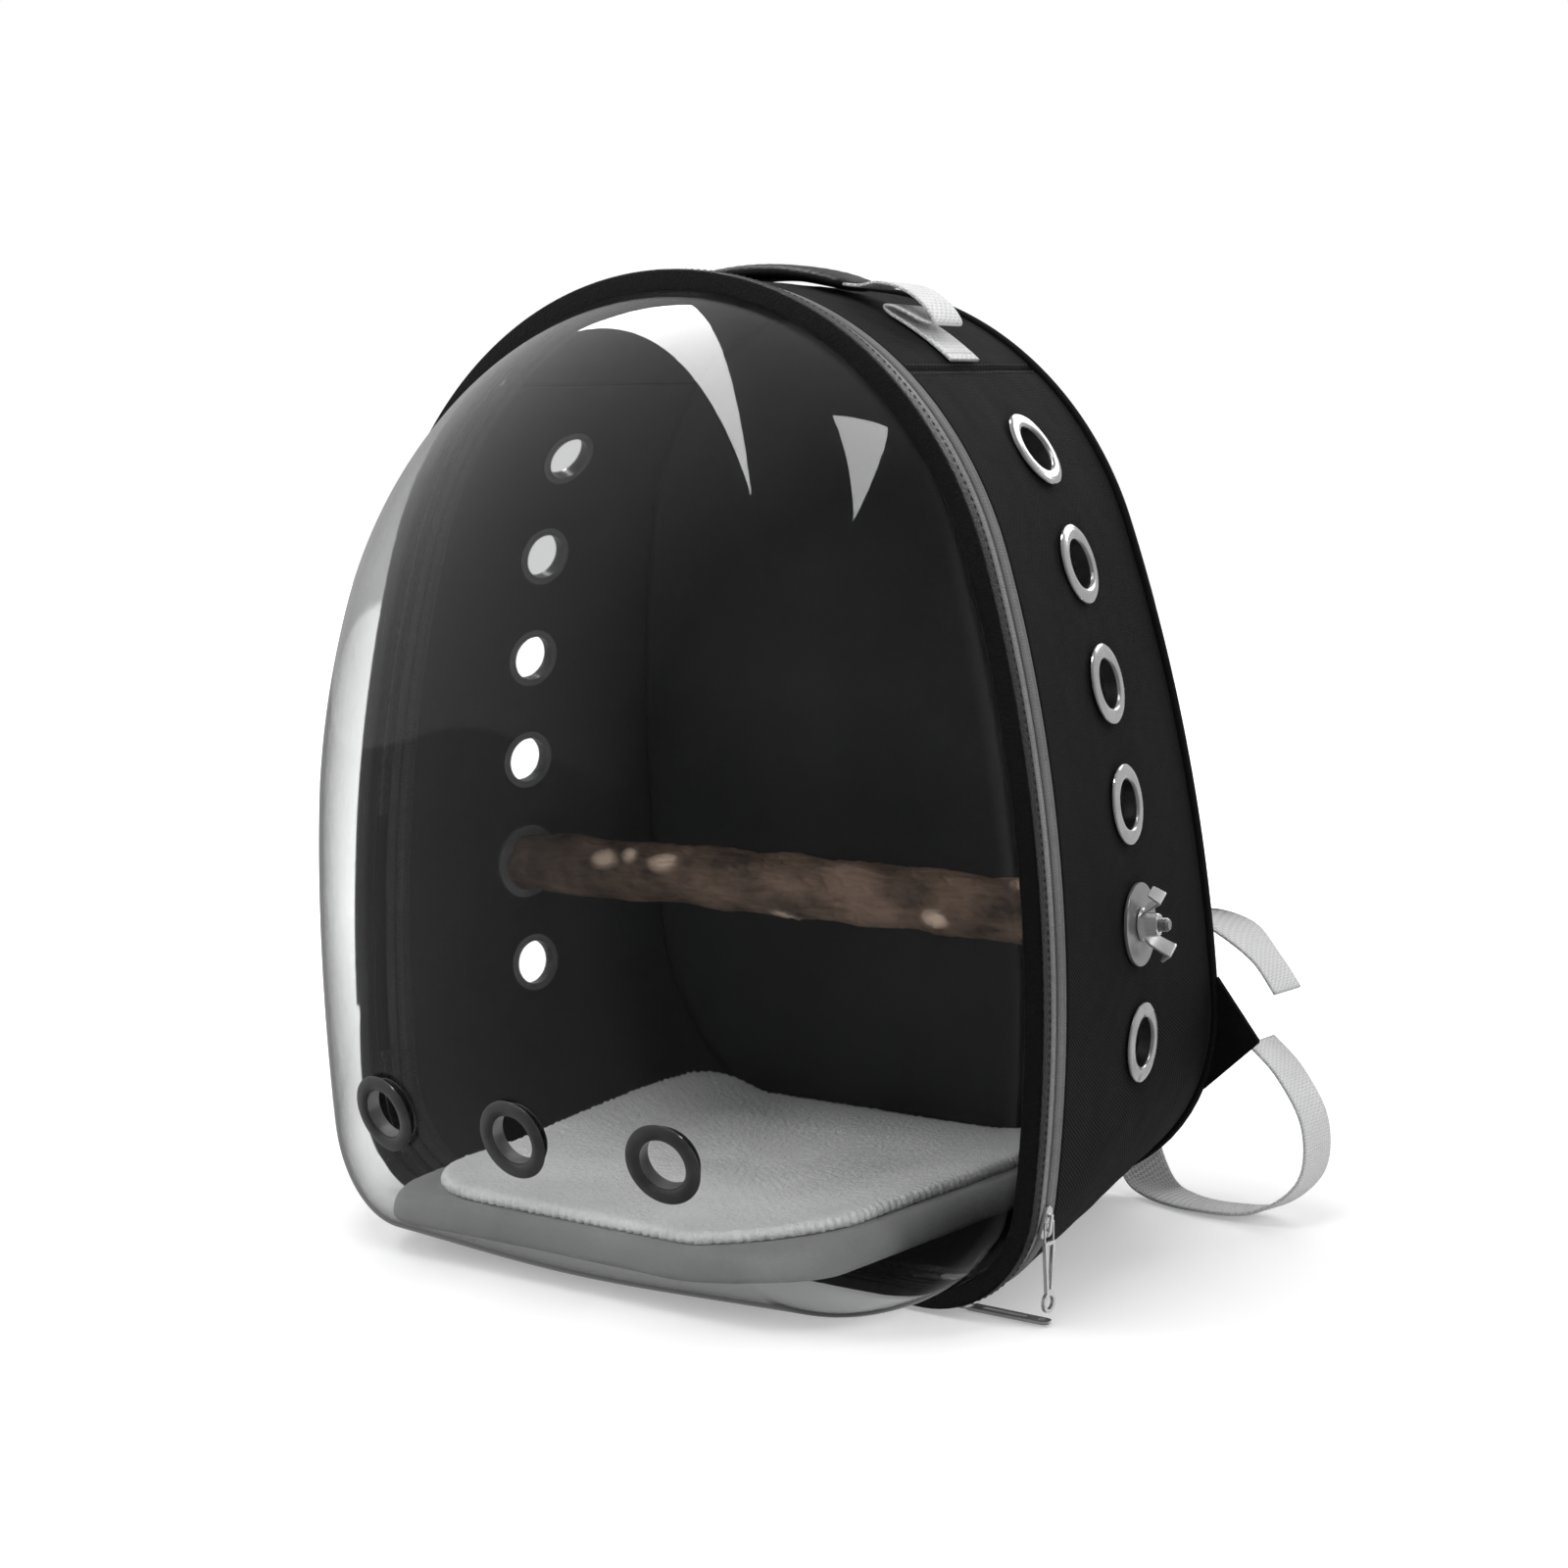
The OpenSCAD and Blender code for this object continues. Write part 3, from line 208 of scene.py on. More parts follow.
class Arch:
    """Outline of the shell: a flat bottom, round corners, bowed sides and a round top"""

    def __init__(self, width, corner_r, side_r):
        rise = FRAME_H - WAIST_Z
        self.corner_r = corner_r
        self.side_r = side_r
        self.side_cx = width / 2 - side_r
        self.corner_cz = GROUND_GAP + corner_r
        lean = (side_r - corner_r) ** 2 - (WAIST_Z - self.corner_cz) ** 2
        self.corner_cx = self.side_cx + math.sqrt(lean)
        self.top_r = (self.side_cx**2 + rise**2 - side_r**2) / (2 * rise - 2 * side_r)
        self.side_start = math.atan2(self.corner_cz - WAIST_Z, self.corner_cx - self.side_cx)
        self.side_end = math.atan2(rise - self.top_r, -self.side_cx)

    def point(self, f, d=0.0):
        """Place f along the outline, 0 to 8 from the middle of the bottom, and d outwards"""
        f = f % 8
        if f > 4:
            x, z = self.point(8 - f, d)
            return -x, z
        if f < 1:
            return self.corner_cx * f, GROUND_GAP - d
        if f < 2:
            turn = -math.pi / 2 + (f - 1) * (self.side_start + math.pi / 2)
            cx, cz, r = self.corner_cx, self.corner_cz, self.corner_r
        elif f < 3:
            turn = self.side_start + (f - 2) * (self.side_end - self.side_start)
            cx, cz, r = self.side_cx, WAIST_Z, self.side_r
        else:
            turn = self.side_end + (f - 3) * (math.pi / 2 - self.side_end)
            cx, cz, r = 0, FRAME_H - self.top_r, self.top_r
        return cx + (r + d) * math.cos(turn), cz + (r + d) * math.sin(turn)

    def place_at(self, z):
        turn = math.asin((z - WAIST_Z) / self.side_r)
        return 2 + (turn - self.side_start) / (self.side_end - self.side_start)


FRONT = Arch(370, 50, 590)
REAR = Arch(314, 100, 750)


def rear_y(z):
    return DEPTH_LOW - (DEPTH_LOW - DEPTH_TOP) * z / FRAME_H


def at_front(f, d, y):
    x, z = FRONT.point(f, d)
    return Vector((x, y, z))


def at_rear(f, d, y):
    x, z = REAR.point(f, d)
    return Vector((x, rear_y(z) + y, z))


def on_wall(f, t, d=0.0):
    return at_front(f, d, WALL_START) * (1 - t) + at_rear(f, d, WALL_END) * t


def metres(p):
    return Vector((p[0], p[1] + ZIP_Y, p[2])) * MM


def steps(start, end, count):
    return [start + (end - start) * i / count for i in range(count + 1)]


def arch_steps(start, end, length=5.0):
    """Places along the outline, about as far apart everywhere"""
    fine = steps(start, end, 1600)
    points = [Vector(FRONT.point(f)) for f in fine]
    run = [0.0]
    for a, b in zip(points, points[1:]):
        run.append(run[-1] + (b - a).length)
    count = max(2, round(run[-1] / length))
    picked = []
    k = 0
    for i in range(count + 1):
        while k < len(run) - 1 and run[k] < run[-1] * i / count:
            k += 1
        picked.append(fine[k])
    picked[-1] = end
    return picked


def add_surface(bm, us, vs, place, size=(1, 1)):
    """A grid whose points place(u, v) moves, in millimetres, with a UV map in metres"""
    uv = bm.loops.layers.uv.verify()
    made = bmesh.ops.create_grid(bm, x_segments=len(us) - 1, y_segments=len(vs) - 1, size=1)
    verts = made["verts"]
    spot = {}
    for vert in verts:
        i = round((vert.co.x + 1) / 2 * (len(us) - 1))
        j = round((vert.co.y + 1) / 2 * (len(vs) - 1))
        spot[vert] = (i, j)
    wide = 1 / (len(us) - 1)
    high = 1 / (len(vs) - 1)
    for face in {face for vert in verts for face in vert.link_faces}:
        for loop in face.loops:
            i, j = spot[loop.vert]
            loop[uv].uv = (i * wide * size[0], j * high * size[1])
    for vert, (i, j) in spot.items():
        vert.co = metres(place(us[i], vs[j]))
    return verts


def close_up(bm, inside_out=False):
    bmesh.ops.remove_doubles(bm, verts=bm.verts, dist=2e-6)
    bmesh.ops.dissolve_degenerate(bm, dist=1e-7, edges=bm.edges)
    bmesh.ops.recalc_face_normals(bm, faces=bm.faces)
    if inside_out:
        bmesh.ops.reverse_faces(bm, faces=bm.faces)


def new_piece(name, bm, body, materials, replaced=(), sharp=None):
    mesh = bpy.data.meshes.new(name)
    bm.to_mesh(mesh)
    bm.free()
    mesh.shade_smooth()
    if sharp:
        mesh.set_sharp_from_angle(angle=math.radians(sharp))
    piece = bpy.data.objects.new(name, mesh)
    scene.collection.objects.link(piece)
    for one in materials:
        mesh.materials.append(one)
    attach(piece, body)
    if replaced:
        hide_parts(*replaced)
    return piece


def modifier(piece, kind, **settings):
    made = piece.modifiers.new(kind.lower(), kind)
    for key, value in settings.items():
        setattr(made, key, value)
    return made


def new_group(name, inputs, outputs):
    tree = bpy.data.node_groups.new(name, "ShaderNodeTree")
    for label, value in inputs.items():
        kind = "NodeSocketVector" if value is None else "NodeSocketFloat"
        made = tree.interface.new_socket(name=label, in_out="INPUT", socket_type=kind)
        if value is not None:
            made.default_value = value
    for label in outputs:
        tree.interface.new_socket(name=label, in_out="OUTPUT", socket_type="NodeSocketFloat")
    return tree, tree.nodes.new("NodeGroupInput").outputs, tree.nodes.new("NodeGroupOutput").inputs


def use_group(tree, group, inputs):
    made = tree.nodes.new("ShaderNodeGroup")
    made.node_tree = group
    for key, value in inputs.items():
        if isinstance(value, bpy.types.NodeSocket):
            tree.links.new(value, made.inputs[key])
        else:
            made.inputs[key].default_value = value
    return made.outputs


def make_weave():
    """Plain weave: threads across and along take turns on top"""
    tree, given, gives = new_group("Weave", {"Vector": None, "Threads": 900.0}, ["Height", "Tint"])
    grown = add_node(tree, "VectorMath", {0: given["Vector"]}, operation="SCALE")
    tree.links.new(given["Threads"], grown.inputs["Scale"])
    axes = add_node(tree, "SeparateXYZ", {0: grown.outputs[0]}).outputs
    waves = []
    for axis in (0, 1):
        turn = add_node(tree, "Math", {0: axes[axis], 1: math.pi}, operation="MULTIPLY").outputs[0]
        wave = add_node(tree, "Math", {0: turn}, operation="SINE").outputs[0]
        waves.append(add_node(tree, "Math", {0: wave}, operation="ABSOLUTE").outputs[0])
    flat = add_node(tree, "CombineXYZ", {0: axes[0], 1: axes[1], 2: 0.5}).outputs[0]
    board = add_node(tree, "TexChecker", {"Vector": flat, "Scale": 1.0}).outputs["Fac"]
    top = add_node(tree, "Mix", {0: board, 2: waves[0], 3: waves[1]}).outputs[0]
    tree.links.new(top, gives["Height"])
    thread = add_node(tree, "TexNoise", {"Vector": grown.outputs[0], "Scale": 0.31, "Detail": 2.0})
    tree.links.new(thread.outputs["Fac"], gives["Tint"])
    return tree


def make_uneven():
    """Slow change over a surface, as handling, dust and dye leave it"""
    tree, given, gives = new_group("Uneven", {"Vector": None, "Scale": 8.0, "Low": 0.0, "High": 1.0}, ["Value"])
    cloud = add_node(tree, "TexNoise", {"Vector": given["Vector"], "Scale": given["Scale"], "Detail": 5.0})
    span = add_node(
        tree, "MapRange", {0: cloud.outputs["Fac"], 1: 0.3, 2: 0.7, 3: given["Low"], 4: given["High"]}
    )
    tree.links.new(span.outputs[0], gives["Value"])
    return tree


WEAVE = make_weave()
UNEVEN = make_uneven()


def mix_colours(tree, factor, low, high):
    made = add_node(tree, "Mix", {0: factor}, data_type="RGBA")
    for socket, value in ((made.inputs[6], low), (made.inputs[7], high)):
        if isinstance(value, bpy.types.NodeSocket):
            tree.links.new(value, socket)
        else:
            socket.default_value = (*value, 1)
    return made.outputs[2]


def bump(tree, bsdf, height, distance, strength=1.0):
    made = add_node(tree, "Bump", {"Height": height, "Distance": distance, "Strength": strength})
    tree.links.new(made.outputs[0], bsdf.inputs["Normal"])


def woven(name, dark, light, threads=1100.0, rough=0.82, depth=0.00022, sheen=0.04):
    """Woven cloth on a piece's own UV map: painted darker between the threads as shade, a little dusty"""
    made, tree, bsdf = new_material(name)
    coords = add_node(tree, "TexCoord").outputs
    cloth = use_group(tree, WEAVE, {"Vector": coords["UV"], "Threads": threads})
    dust = use_group(tree, UNEVEN, {"Vector": coords["Object"], "Scale": 9.0, "Low": 0.15, "High": 0.85})
    # The weave's height paints shade between the threads; the dust and each thread's tint are the cloth's own
    share = sum_of(tree, [cloth["Height"], dust["Value"]], "MULTIPLY")
    share = add_node(tree, "Math", {0: cloth["Tint"], 1: 0.35, 2: share}, operation="MULTIPLY_ADD")
    tree.links.new(mix_colours(tree, share.outputs[0], dark, light), bsdf.inputs["Base Color"])
    bsdf.inputs["Roughness"].default_value = rough
    bsdf.inputs["Sheen Weight"].default_value = sheen
    bsdf.inputs["Sheen Roughness"].default_value = 0.5
    bsdf.inputs["Specular IOR Level"].default_value = 0.09
    bump(tree, bsdf, cloth["Height"], depth)
    return made


shell_cloth = woven("shell_cloth", (0.0015, 0.0015, 0.0015), (0.009, 0.009, 0.0092), sheen=0.03)
lining_cloth = woven("lining_cloth", (0.011, 0.011, 0.011), (0.055, 0.055, 0.056), threads=1500.0)

EYELET_PITCH = 54.6
FIRST_EYELET = 24
PERCH_ROW = 1
ROW_ACROSS = 0.51
side_len = FRONT.side_r * (FRONT.side_end - FRONT.side_start)
top_len = FRONT.top_r * (math.pi / 2 - FRONT.side_end)


def row_place(i):
    run = FIRST_EYELET + i * EYELET_PITCH
    return 2 + run / side_len if run < side_len else 3 + (run - side_len) / top_len


def wall_frame(f, t):
    """Point of the wall, the way up along it and the way out of it"""
    up = (on_wall(f + 0.02, t) - on_wall(f - 0.02, t)).normalized()
    out = (on_wall(f, 1) - on_wall(f, 0)).cross(up).normalized()
    return on_wall(f, t), up, out


def mirrored(p):
    return Vector((-p[0], p[1], p[2]))


row_seats = [wall_frame(row_place(i), ROW_ACROSS) for i in range(6)]
eyelet_seats = [seat for i, seat in enumerate(row_seats) if i != PERCH_ROW]
perch_seat = row_seats[PERCH_ROW]
PUNCHED_R = 12.0


def punch(bm, centre, out, radius):
    """Round hole: the faces inside go, and the edge is drawn onto the circle"""
    centre = metres(centre)
    radius = radius * MM

    def off_axis(co):
        way = co - centre
        return way - out * way.dot(out)

    inside = [
        face for face in bm.faces
        if off_axis(face.calc_center_median()).length < radius
        and (face.calc_center_median() - centre).length < radius * 2
    ]
    rim = {vert for face in inside for vert in face.verts}
    bmesh.ops.delete(bm, geom=inside, context="FACES")
    for vert in rim:
        if vert.is_valid and vert.is_boundary:
            way = off_axis(vert.co)
            vert.co += way.normalized() * radius - way
    return [vert for vert in rim if vert.is_valid]


def slack(p, f, t, size=0.55):
    """Small give of the cloth, least at the seams"""
    give = noise.noise(Vector((f * 9, t * 5, p[0] * 0.01))) + 0.5 * noise.noise(Vector((f * 31, t * 13, 3)))
    return size * give * min(1, 6 * t, 6 * (1 - t))


def wall_piece(name, start, end, seats, replaced):
    fs = arch_steps(start, end, 3.0)
    ts = steps(0, 1, 56)
    bm = bmesh.new()
    run = (on_wall(start, 0.5) - on_wall(end, 0.5)).length * 1.05

    def place(f, t):
        seam = 0.9 * (math.exp(-((f - start) / 0.012) ** 2) + math.exp(-((f - end) / 0.012) ** 2))
        d = slack(on_wall(f, t), f, t) - seam - 0.25
        for centre, up, out in seats:
            reach = (on_wall(f, t) - centre).length
            d -= 0.5 * math.exp(-(((reach - 17) / 5) ** 2)) if reach < 40 else 0
        return on_wall(f, t, d)

    add_surface(bm, fs, ts, place, (run * MM, 0.16))
    close_up(bm)
    for centre, up, out in seats:
        punch(bm, centre, out, PUNCHED_R)
    middle = bm.faces[:][len(bm.faces) // 2]
    if middle.normal.dot(middle.calc_center_median() - Vector((0, 0, 0.2))) < 0:
        bmesh.ops.reverse_faces(bm, faces=bm.faces)
    piece = new_piece(name, bm, "shell", [shell_cloth, lining_cloth], replaced)
    modifier(piece, "SOLIDIFY", thickness=(WALL - 0.3) * MM, offset=-1, material_offset=1, use_even_offset=False)
    return piece


def left_of(seats):
    return [(mirrored(c), mirrored(u), mirrored(o)) for c, u, o in seats]


wall_piece("side_cloth_right", 1.0, SEAM_F, eyelet_seats + [perch_seat], ["right_panel"])
wall_piece("side_cloth_left", 8 - SEAM_F, 7.0, left_of(eyelet_seats + [perch_seat]), ["left_panel"])
wall_piece("top_cloth", SEAM_F, 8 - SEAM_F, [], ["top_panel"])

# FLOOR OF THE SHELL
# The bottom panel is the same cloth, sewn to the sides round a narrow slope, and hangs down
# onto the ground between its seams.
FLOOR_SAG = 4


def floor_place(f, t):
    p = on_wall(f % 8, t, 0)
    across = min(1, max(0, (1 - abs(f)) / 0.12))
    along = min(1, t / 0.1, (1 - t) / 0.06)
    drop = min(across, along)
    p[2] -= FLOOR_SAG * drop * drop * (3 - 2 * drop)
    p[2] = max(p[2], 0.02)
    return p


floor_bm = bmesh.new()
add_surface(floor_bm, steps(-1, 1, 80), steps(0, 1, 60), floor_place, (0.26, 0.19))
close_up(floor_bm)
if floor_bm.faces[:][2400].normal.z > 0:
    bmesh.ops.reverse_faces(floor_bm, faces=floor_bm.faces)
floor_cloth = new_piece(
    "floor_cloth", floor_bm, "shell", [shell_cloth, lining_cloth], ["floor_panel"]
)
modifier(floor_cloth, "SOLIDIFY", thickness=WALL * MM, offset=-1, material_offset=1, use_even_offset=False)

# REAR PIPING
# A cord wrapped in bias tape stands out of the seam between the walls and the back.
PIPING_PROUD = 2


def rounded(points, radius, count=3):
    """Outline with its corners rounded off"""
    done = []
    for i, p in enumerate(points):
        before = Vector(points[i - 1])
        after = Vector(points[(i + 1) % len(points)])
        p = Vector(p)
        r = min(radius, (before - p).length / 2.05, (after - p).length / 2.05)
        a = p + (before - p).normalized() * r
        b = p + (after - p).normalized() * r
        for k in range(count + 1):
            s = k / count
            done.append(a * (1 - s) ** 2 + p * 2 * s * (1 - s) + b * s * s)
    return done


def add_band(bm, outline, fs, place, size, whole=True):
    """Closed outline swept along the arch; place(f, d, y) puts one of its points"""
    loop = list(range(len(outline) + 1))
    at = lambda f, k: place(f, outline[k % len(outline)][0], outline[k % len(outline)][1])
    add_surface(bm, fs, loop, at, size)
    if not whole:
        bmesh.ops.remove_doubles(bm, verts=bm.verts, dist=2e-6)
        bmesh.ops.holes_fill(bm, edges=[edge for edge in bm.edges if edge.is_boundary])


PERIMETER = 1.36
whole_loop = arch_steps(0, 8, 4.0)
piping_cloth = woven("piping_cloth", (0.002, 0.002, 0.002), (0.01, 0.01, 0.0105), threads=1700.0)
piping_outline = rounded([(-WALL - 0.4, -4), (-0.2, -3.8), (1.0, -4), (PIPING_PROUD, -2.9),
                          (PIPING_PROUD, -1.1), (1.0, 0), (-0.2, -0.2), (-WALL - 0.4, 0)], 0.7)
piping_bm = bmesh.new()
add_band(piping_bm, piping_outline, whole_loop, at_rear, (PERIMETER, 0.02))
close_up(piping_bm)
new_piece("rear_cord_piping", piping_bm, "shell", [piping_cloth], ["rear_piping"])

# FRONT FACING AND HOOP
# Inside the mouth a folded band of grosgrain covers the raw edges, with two lines of
# stitches, and a flat spring-steel hoop in it keeps the mouth's shape.
FACING_T = 1.1
FACING_D = -WALL - TOUCH
FACING_Y = 4.2
FACING_ACROSS = 0.07
HOOP_T = 1.6
HOOP_ACROSS = (0.01, 0.045)
thread_mat, thread_tree, thread_bsdf = new_material("sewing_thread")
thread_noise = add_node(thread_tree, "TexNoise", {"Scale": 900.0})
thread_tree.links.new(add_node(thread_tree, "TexCoord").outputs["Object"], thread_noise.inputs["Vector"])
thread_tree.links.new(
    mix_colours(thread_tree, thread_noise.outputs["Fac"], (0.01, 0.01, 0.01), (0.06, 0.06, 0.062)),
    thread_bsdf.inputs["Base Color"],
)
thread_bsdf.inputs["Roughness"].default_value = 0.6
bump(thread_tree, thread_bsdf, thread_noise.outputs["Fac"], 0.0001)


def stitches(name, body, line, pitch=3.2, length=2.2, radius=0.28, tint=None):
    """Row of stitches: line is a list of points with the way out, in millimetres"""
    bm = bmesh.new()
    run = 0.0
    due = 0.0
    for (a, out_a), (b, out_b) in zip(line, line[1:]):
        span = (b - a).length
        while due <= run + span and span > 0:
            s = (due - run) / span
            along = (b - a).normalized()
            out = (out_a * (1 - s) + out_b * s).normalized()
            side = along.cross(out).normalized()
            turn = Matrix((along * length / 2, side * radius, out * radius)).transposed()
            made = bmesh.ops.create_icosphere(bm, subdivisions=1, radius=1)
            spot = metres(a * (1 - s) + b * s + out * radius * 0.35)
            for vert in made["verts"]:
                vert.co = spot + (turn @ vert.co) * MM
            due += pitch
        run += span
    return new_piece(name, bm, body, [tint or thread_mat])


def facing_place(f, d, y):
    if y < 0:
        return at_front(f, d, FACING_Y)
    return on_wall(f, y, d)


facing_outline = [(FACING_D - FACING_T, -1), (FACING_D - 0.1, -1), (FACING_D, 0), (FACING_D, FACING_ACROSS),
                  (FACING_D - 0.4, FACING_ACROSS + 0.002), (FACING_D - FACING_T, FACING_ACROSS - 0.001),
                  (FACING_D - FACING_T - 0.2, 0.035), (FACING_D - FACING_T, 0.0)]
facing_bm = bmesh.new()
add_band(facing_bm, facing_outline, whole_loop, facing_place, (PERIMETER, 0.03))
close_up(facing_bm)
grosgrain = woven("facing_grosgrain", (0.02, 0.02, 0.021), (0.085, 0.085, 0.088), threads=900.0, depth=0.0003)
new_piece("mouth_facing", facing_bm, "shell", [grosgrain], ["front_facing"])
hoop_outline = rounded([(FACING_D - FACING_T - TOUCH - HOOP_T, HOOP_ACROSS[0]),
                        (FACING_D - FACING_T - TOUCH, HOOP_ACROSS[0]),
                        (FACING_D - FACING_T - TOUCH, HOOP_ACROSS[1]),
                        (FACING_D - FACING_T - TOUCH - HOOP_T, HOOP_ACROSS[1])], 0.004)
hoop_bm = bmesh.new()
add_band(hoop_bm, hoop_outline, whole_loop, lambda f, d, t: on_wall(f, t, d), (PERIMETER, 0.02))
close_up(hoop_bm)
new_piece("mouth_hoop", hoop_bm, "shell", [grosgrain], ["front_hoop"])
for row, t in enumerate((0.012, 0.058)):
    line = [(on_wall(f, t, FACING_D - FACING_T - (2.1 if t < 0.045 else 0.1)), -wall_frame(f, t)[2]) for f in whole_loop]
    stitches("facing_stitches_%d" % row, "shell", line)

# CLEAR DOME
# One thin shell of clear polycarbonate, blown into a deep bubble, with a flange round its
# rim that the binding grips and three holes low on its front.
DOME_DEPTH = 116
DOME_WALL = 1.5
DOME_INSET = 5
DOME_MID_Z = 202
DOME_DIP = 6.5
BINDING_W = 7
BINDING_Y = -7.0
BINDING_FRONT = BINDING_Y - BINDING_W
RIM_Y = BINDING_Y - BINDING_W / 2
RIM_GRIP = 0.6
DIP_FROM = (BINDING_W / 2 + 5) / DOME_DEPTH
DIP_TO = 0.75


def mix(a, b, t):
    return a + (b - a) * t


def dome_point(f, s, inner=0.0):
    """Point of the dome: s is its section's share of the full width, inner a depth inside"""
    x, z = FRONT.point(f, -DOME_INSET - inner)
    half = 185 - DOME_INSET - inner
    up = FRAME_H - DOME_INSET - inner - DOME_MID_Z
    down = DOME_MID_Z - GROUND_GAP - DOME_INSET - inner
    depth = (1 - s**2.96) ** (1 / 1.2) if s < 1 else 0.0
    angle = math.atan2(z - DOME_MID_Z, x)
    reach = up if z > DOME_MID_Z else down
    oval = 1 / math.sqrt((math.cos(angle) / half) ** 2 + (math.sin(angle) / reach) ** 2)
    share = depth**3
    x = mix(x, oval * math.cos(angle), share)
    z = mix(z - DOME_MID_Z, oval * math.sin(angle), share)
    swing = max(0, min(1, (depth - DIP_FROM) / (DIP_TO - DIP_FROM)))
    low_share = (1 - depth**6.8) * (1 + DOME_DIP * math.sin(math.pi * swing) / down)
    return Vector((x * s, RIM_Y - depth * (DOME_DEPTH - inner), DOME_MID_Z + z * (s if z > 0 else low_share)))


dome_rows = [("rim", 1.0)] + [("skin", 1 - v * v) for v in steps(0, 0.9998, 84)] + [("skin", 0.0)]
dome_fs = arch_steps(0, 8, 3.9)


def dome_place(f, row, inner):
    if row[0] == "rim":
        return at_front(f, -RIM_GRIP - 0.4, RIM_Y + inner)
    return dome_point(f, row[1], inner)


dome_bm = bmesh.new()
add_surface(dome_bm, dome_fs, dome_rows, lambda f, row: dome_place(f, row, 0.0), (PERIMETER, 0.25))
add_surface(dome_bm, dome_fs, dome_rows, lambda f, row: dome_place(f, row, DOME_WALL), (PERIMETER, 0.25))
close_up(dome_bm)
DOME_EYELET_Z = 70
dome_seats = []


def dome_front(x, z):
    """Point of the dome's outer face straight in front of a place, by halving"""
    low, high = 0.1, 1.0
    for turn in range(18):
        s = (low + high) / 2
        arc = [dome_point(1 + i / 24, s) for i in range(25)]
        inside = z > dome_point(0.5, s)[2] if abs(x) < arc[0][0] else z > min(
            (p[2] for p in arc if p[0] >= abs(x)), default=1e9)
        low, high = (low, s) if inside else (s, high)
    depth = (1 - low**2.96) ** (1 / 1.2)
    return Vector((x, RIM_Y - depth * DOME_DEPTH, z))


for x in (-74, 0, 74):
    across = dome_front(x + 3, DOME_EYELET_Z) - dome_front(x - 3, DOME_EYELET_Z)
    up = (dome_front(x, DOME_EYELET_Z + 3) - dome_front(x, DOME_EYELET_Z - 3)).normalized()
    dome_seats.append((dome_front(x, DOME_EYELET_Z), up, across.cross(up).normalized()))
for centre, up, out in dome_seats:
    rim = punch(dome_bm, centre, out, 11.4)
    edges = {edge for vert in rim for edge in vert.link_edges if edge.is_boundary}
    bmesh.ops.bridge_loops(dome_bm, edges=list(edges))
bmesh.ops.recalc_face_normals(dome_bm, faces=dome_bm.faces)

clear, clear_tree, clear_bsdf = new_material("clear_polycarbonate")
clear_bsdf.inputs["Base Color"].default_value = (0.965, 0.97, 0.97, 1)
clear_bsdf.inputs["Roughness"].default_value = 0.025
clear_bsdf.inputs["IOR"].default_value = 1.49
clear_bsdf.inputs["Transmission Weight"].default_value = 1.0
clear_coords = add_node(clear_tree, "TexCoord").outputs["Object"]
clear_wave = add_node(clear_tree, "TexNoise", {"Vector": clear_coords, "Scale": 7.0, "Detail": 1.0})
bump(clear_tree, clear_bsdf, clear_wave.outputs["Fac"], 0.0012, 0.35)
clear_shadow = add_node(clear_tree, "BsdfTransparent", {0: (0.93, 0.93, 0.93, 1)})
clear_path = add_node(clear_tree, "LightPath").outputs["Is Shadow Ray"]
clear_mix = add_node(
    clear_tree, "MixShader", {0: clear_path, 1: clear_bsdf.outputs[0], 2: clear_shadow.outputs[0]}
)
clear_tree.links.new(clear_mix.outputs[0], clear_tree.nodes["Material Output"].inputs["Surface"])
new_piece("dome_bubble", dome_bm, "door", [clear], ["clear_dome"], sharp=45)

# DOME BINDING
# Black synthetic leather tape folded round the dome's flange and sewn through both layers.
BINDING_IN = 7
BINDING_PROUD = 2
binding_outline = rounded([
    (-BINDING_IN, BINDING_FRONT), (BINDING_PROUD, BINDING_FRONT), (BINDING_PROUD, BINDING_Y),
    (-BINDING_IN, BINDING_Y), (-BINDING_IN, RIM_Y + DOME_WALL + TOUCH), (-RIM_GRIP, RIM_Y + DOME_WALL + TOUCH),
    (-RIM_GRIP, RIM_Y - TOUCH), (-DOME_INSET + TOUCH, RIM_Y - TOUCH), (-BINDING_IN, RIM_Y - TOUCH - 1.4),
], 1.1, 4)


def make_leather():
    """Pebbled grain: rounded cells with fine creases between them"""
    tree, given, gives = new_group("Leather", {"Vector": None, "Scale": 900.0}, ["Height"])
    cells = add_node(tree, "TexVoronoi", {"Vector": given["Vector"], "Scale": given["Scale"]})
    soft = add_node(tree, "MapRange", {0: cells.outputs["Distance"], 1: 0.0, 2: 0.7, 3: 1.0, 4: 0.0})
    tree.links.new(soft.outputs[0], gives["Height"])
    return tree


LEATHER = make_leather()


def leather(name, dark, light, rough=0.42, scale=900.0):
    made, tree, bsdf = new_material(name)
    coords = add_node(tree, "TexCoord").outputs["Object"]
    grain = use_group(tree, LEATHER, {"Vector": coords, "Scale": scale})
    wear = use_group(tree, UNEVEN, {"Vector": coords, "Scale": 14.0, "Low": 0.0, "High": 1.0})
    # The grain's height paints shade into the creases between its cells; the wear is the surface's own
    share = sum_of(tree, [grain["Height"], wear["Value"]], "MULTIPLY")
    tree.links.new(mix_colours(tree, share, dark, light), bsdf.inputs["Base Color"])
    shine = add_node(tree, "MapRange", {0: wear["Value"], 3: rough - 0.06, 4: rough + 0.12})
    tree.links.new(shine.outputs[0], bsdf.inputs["Roughness"])
    bump(tree, bsdf, grain["Height"], 0.00015)
    return made


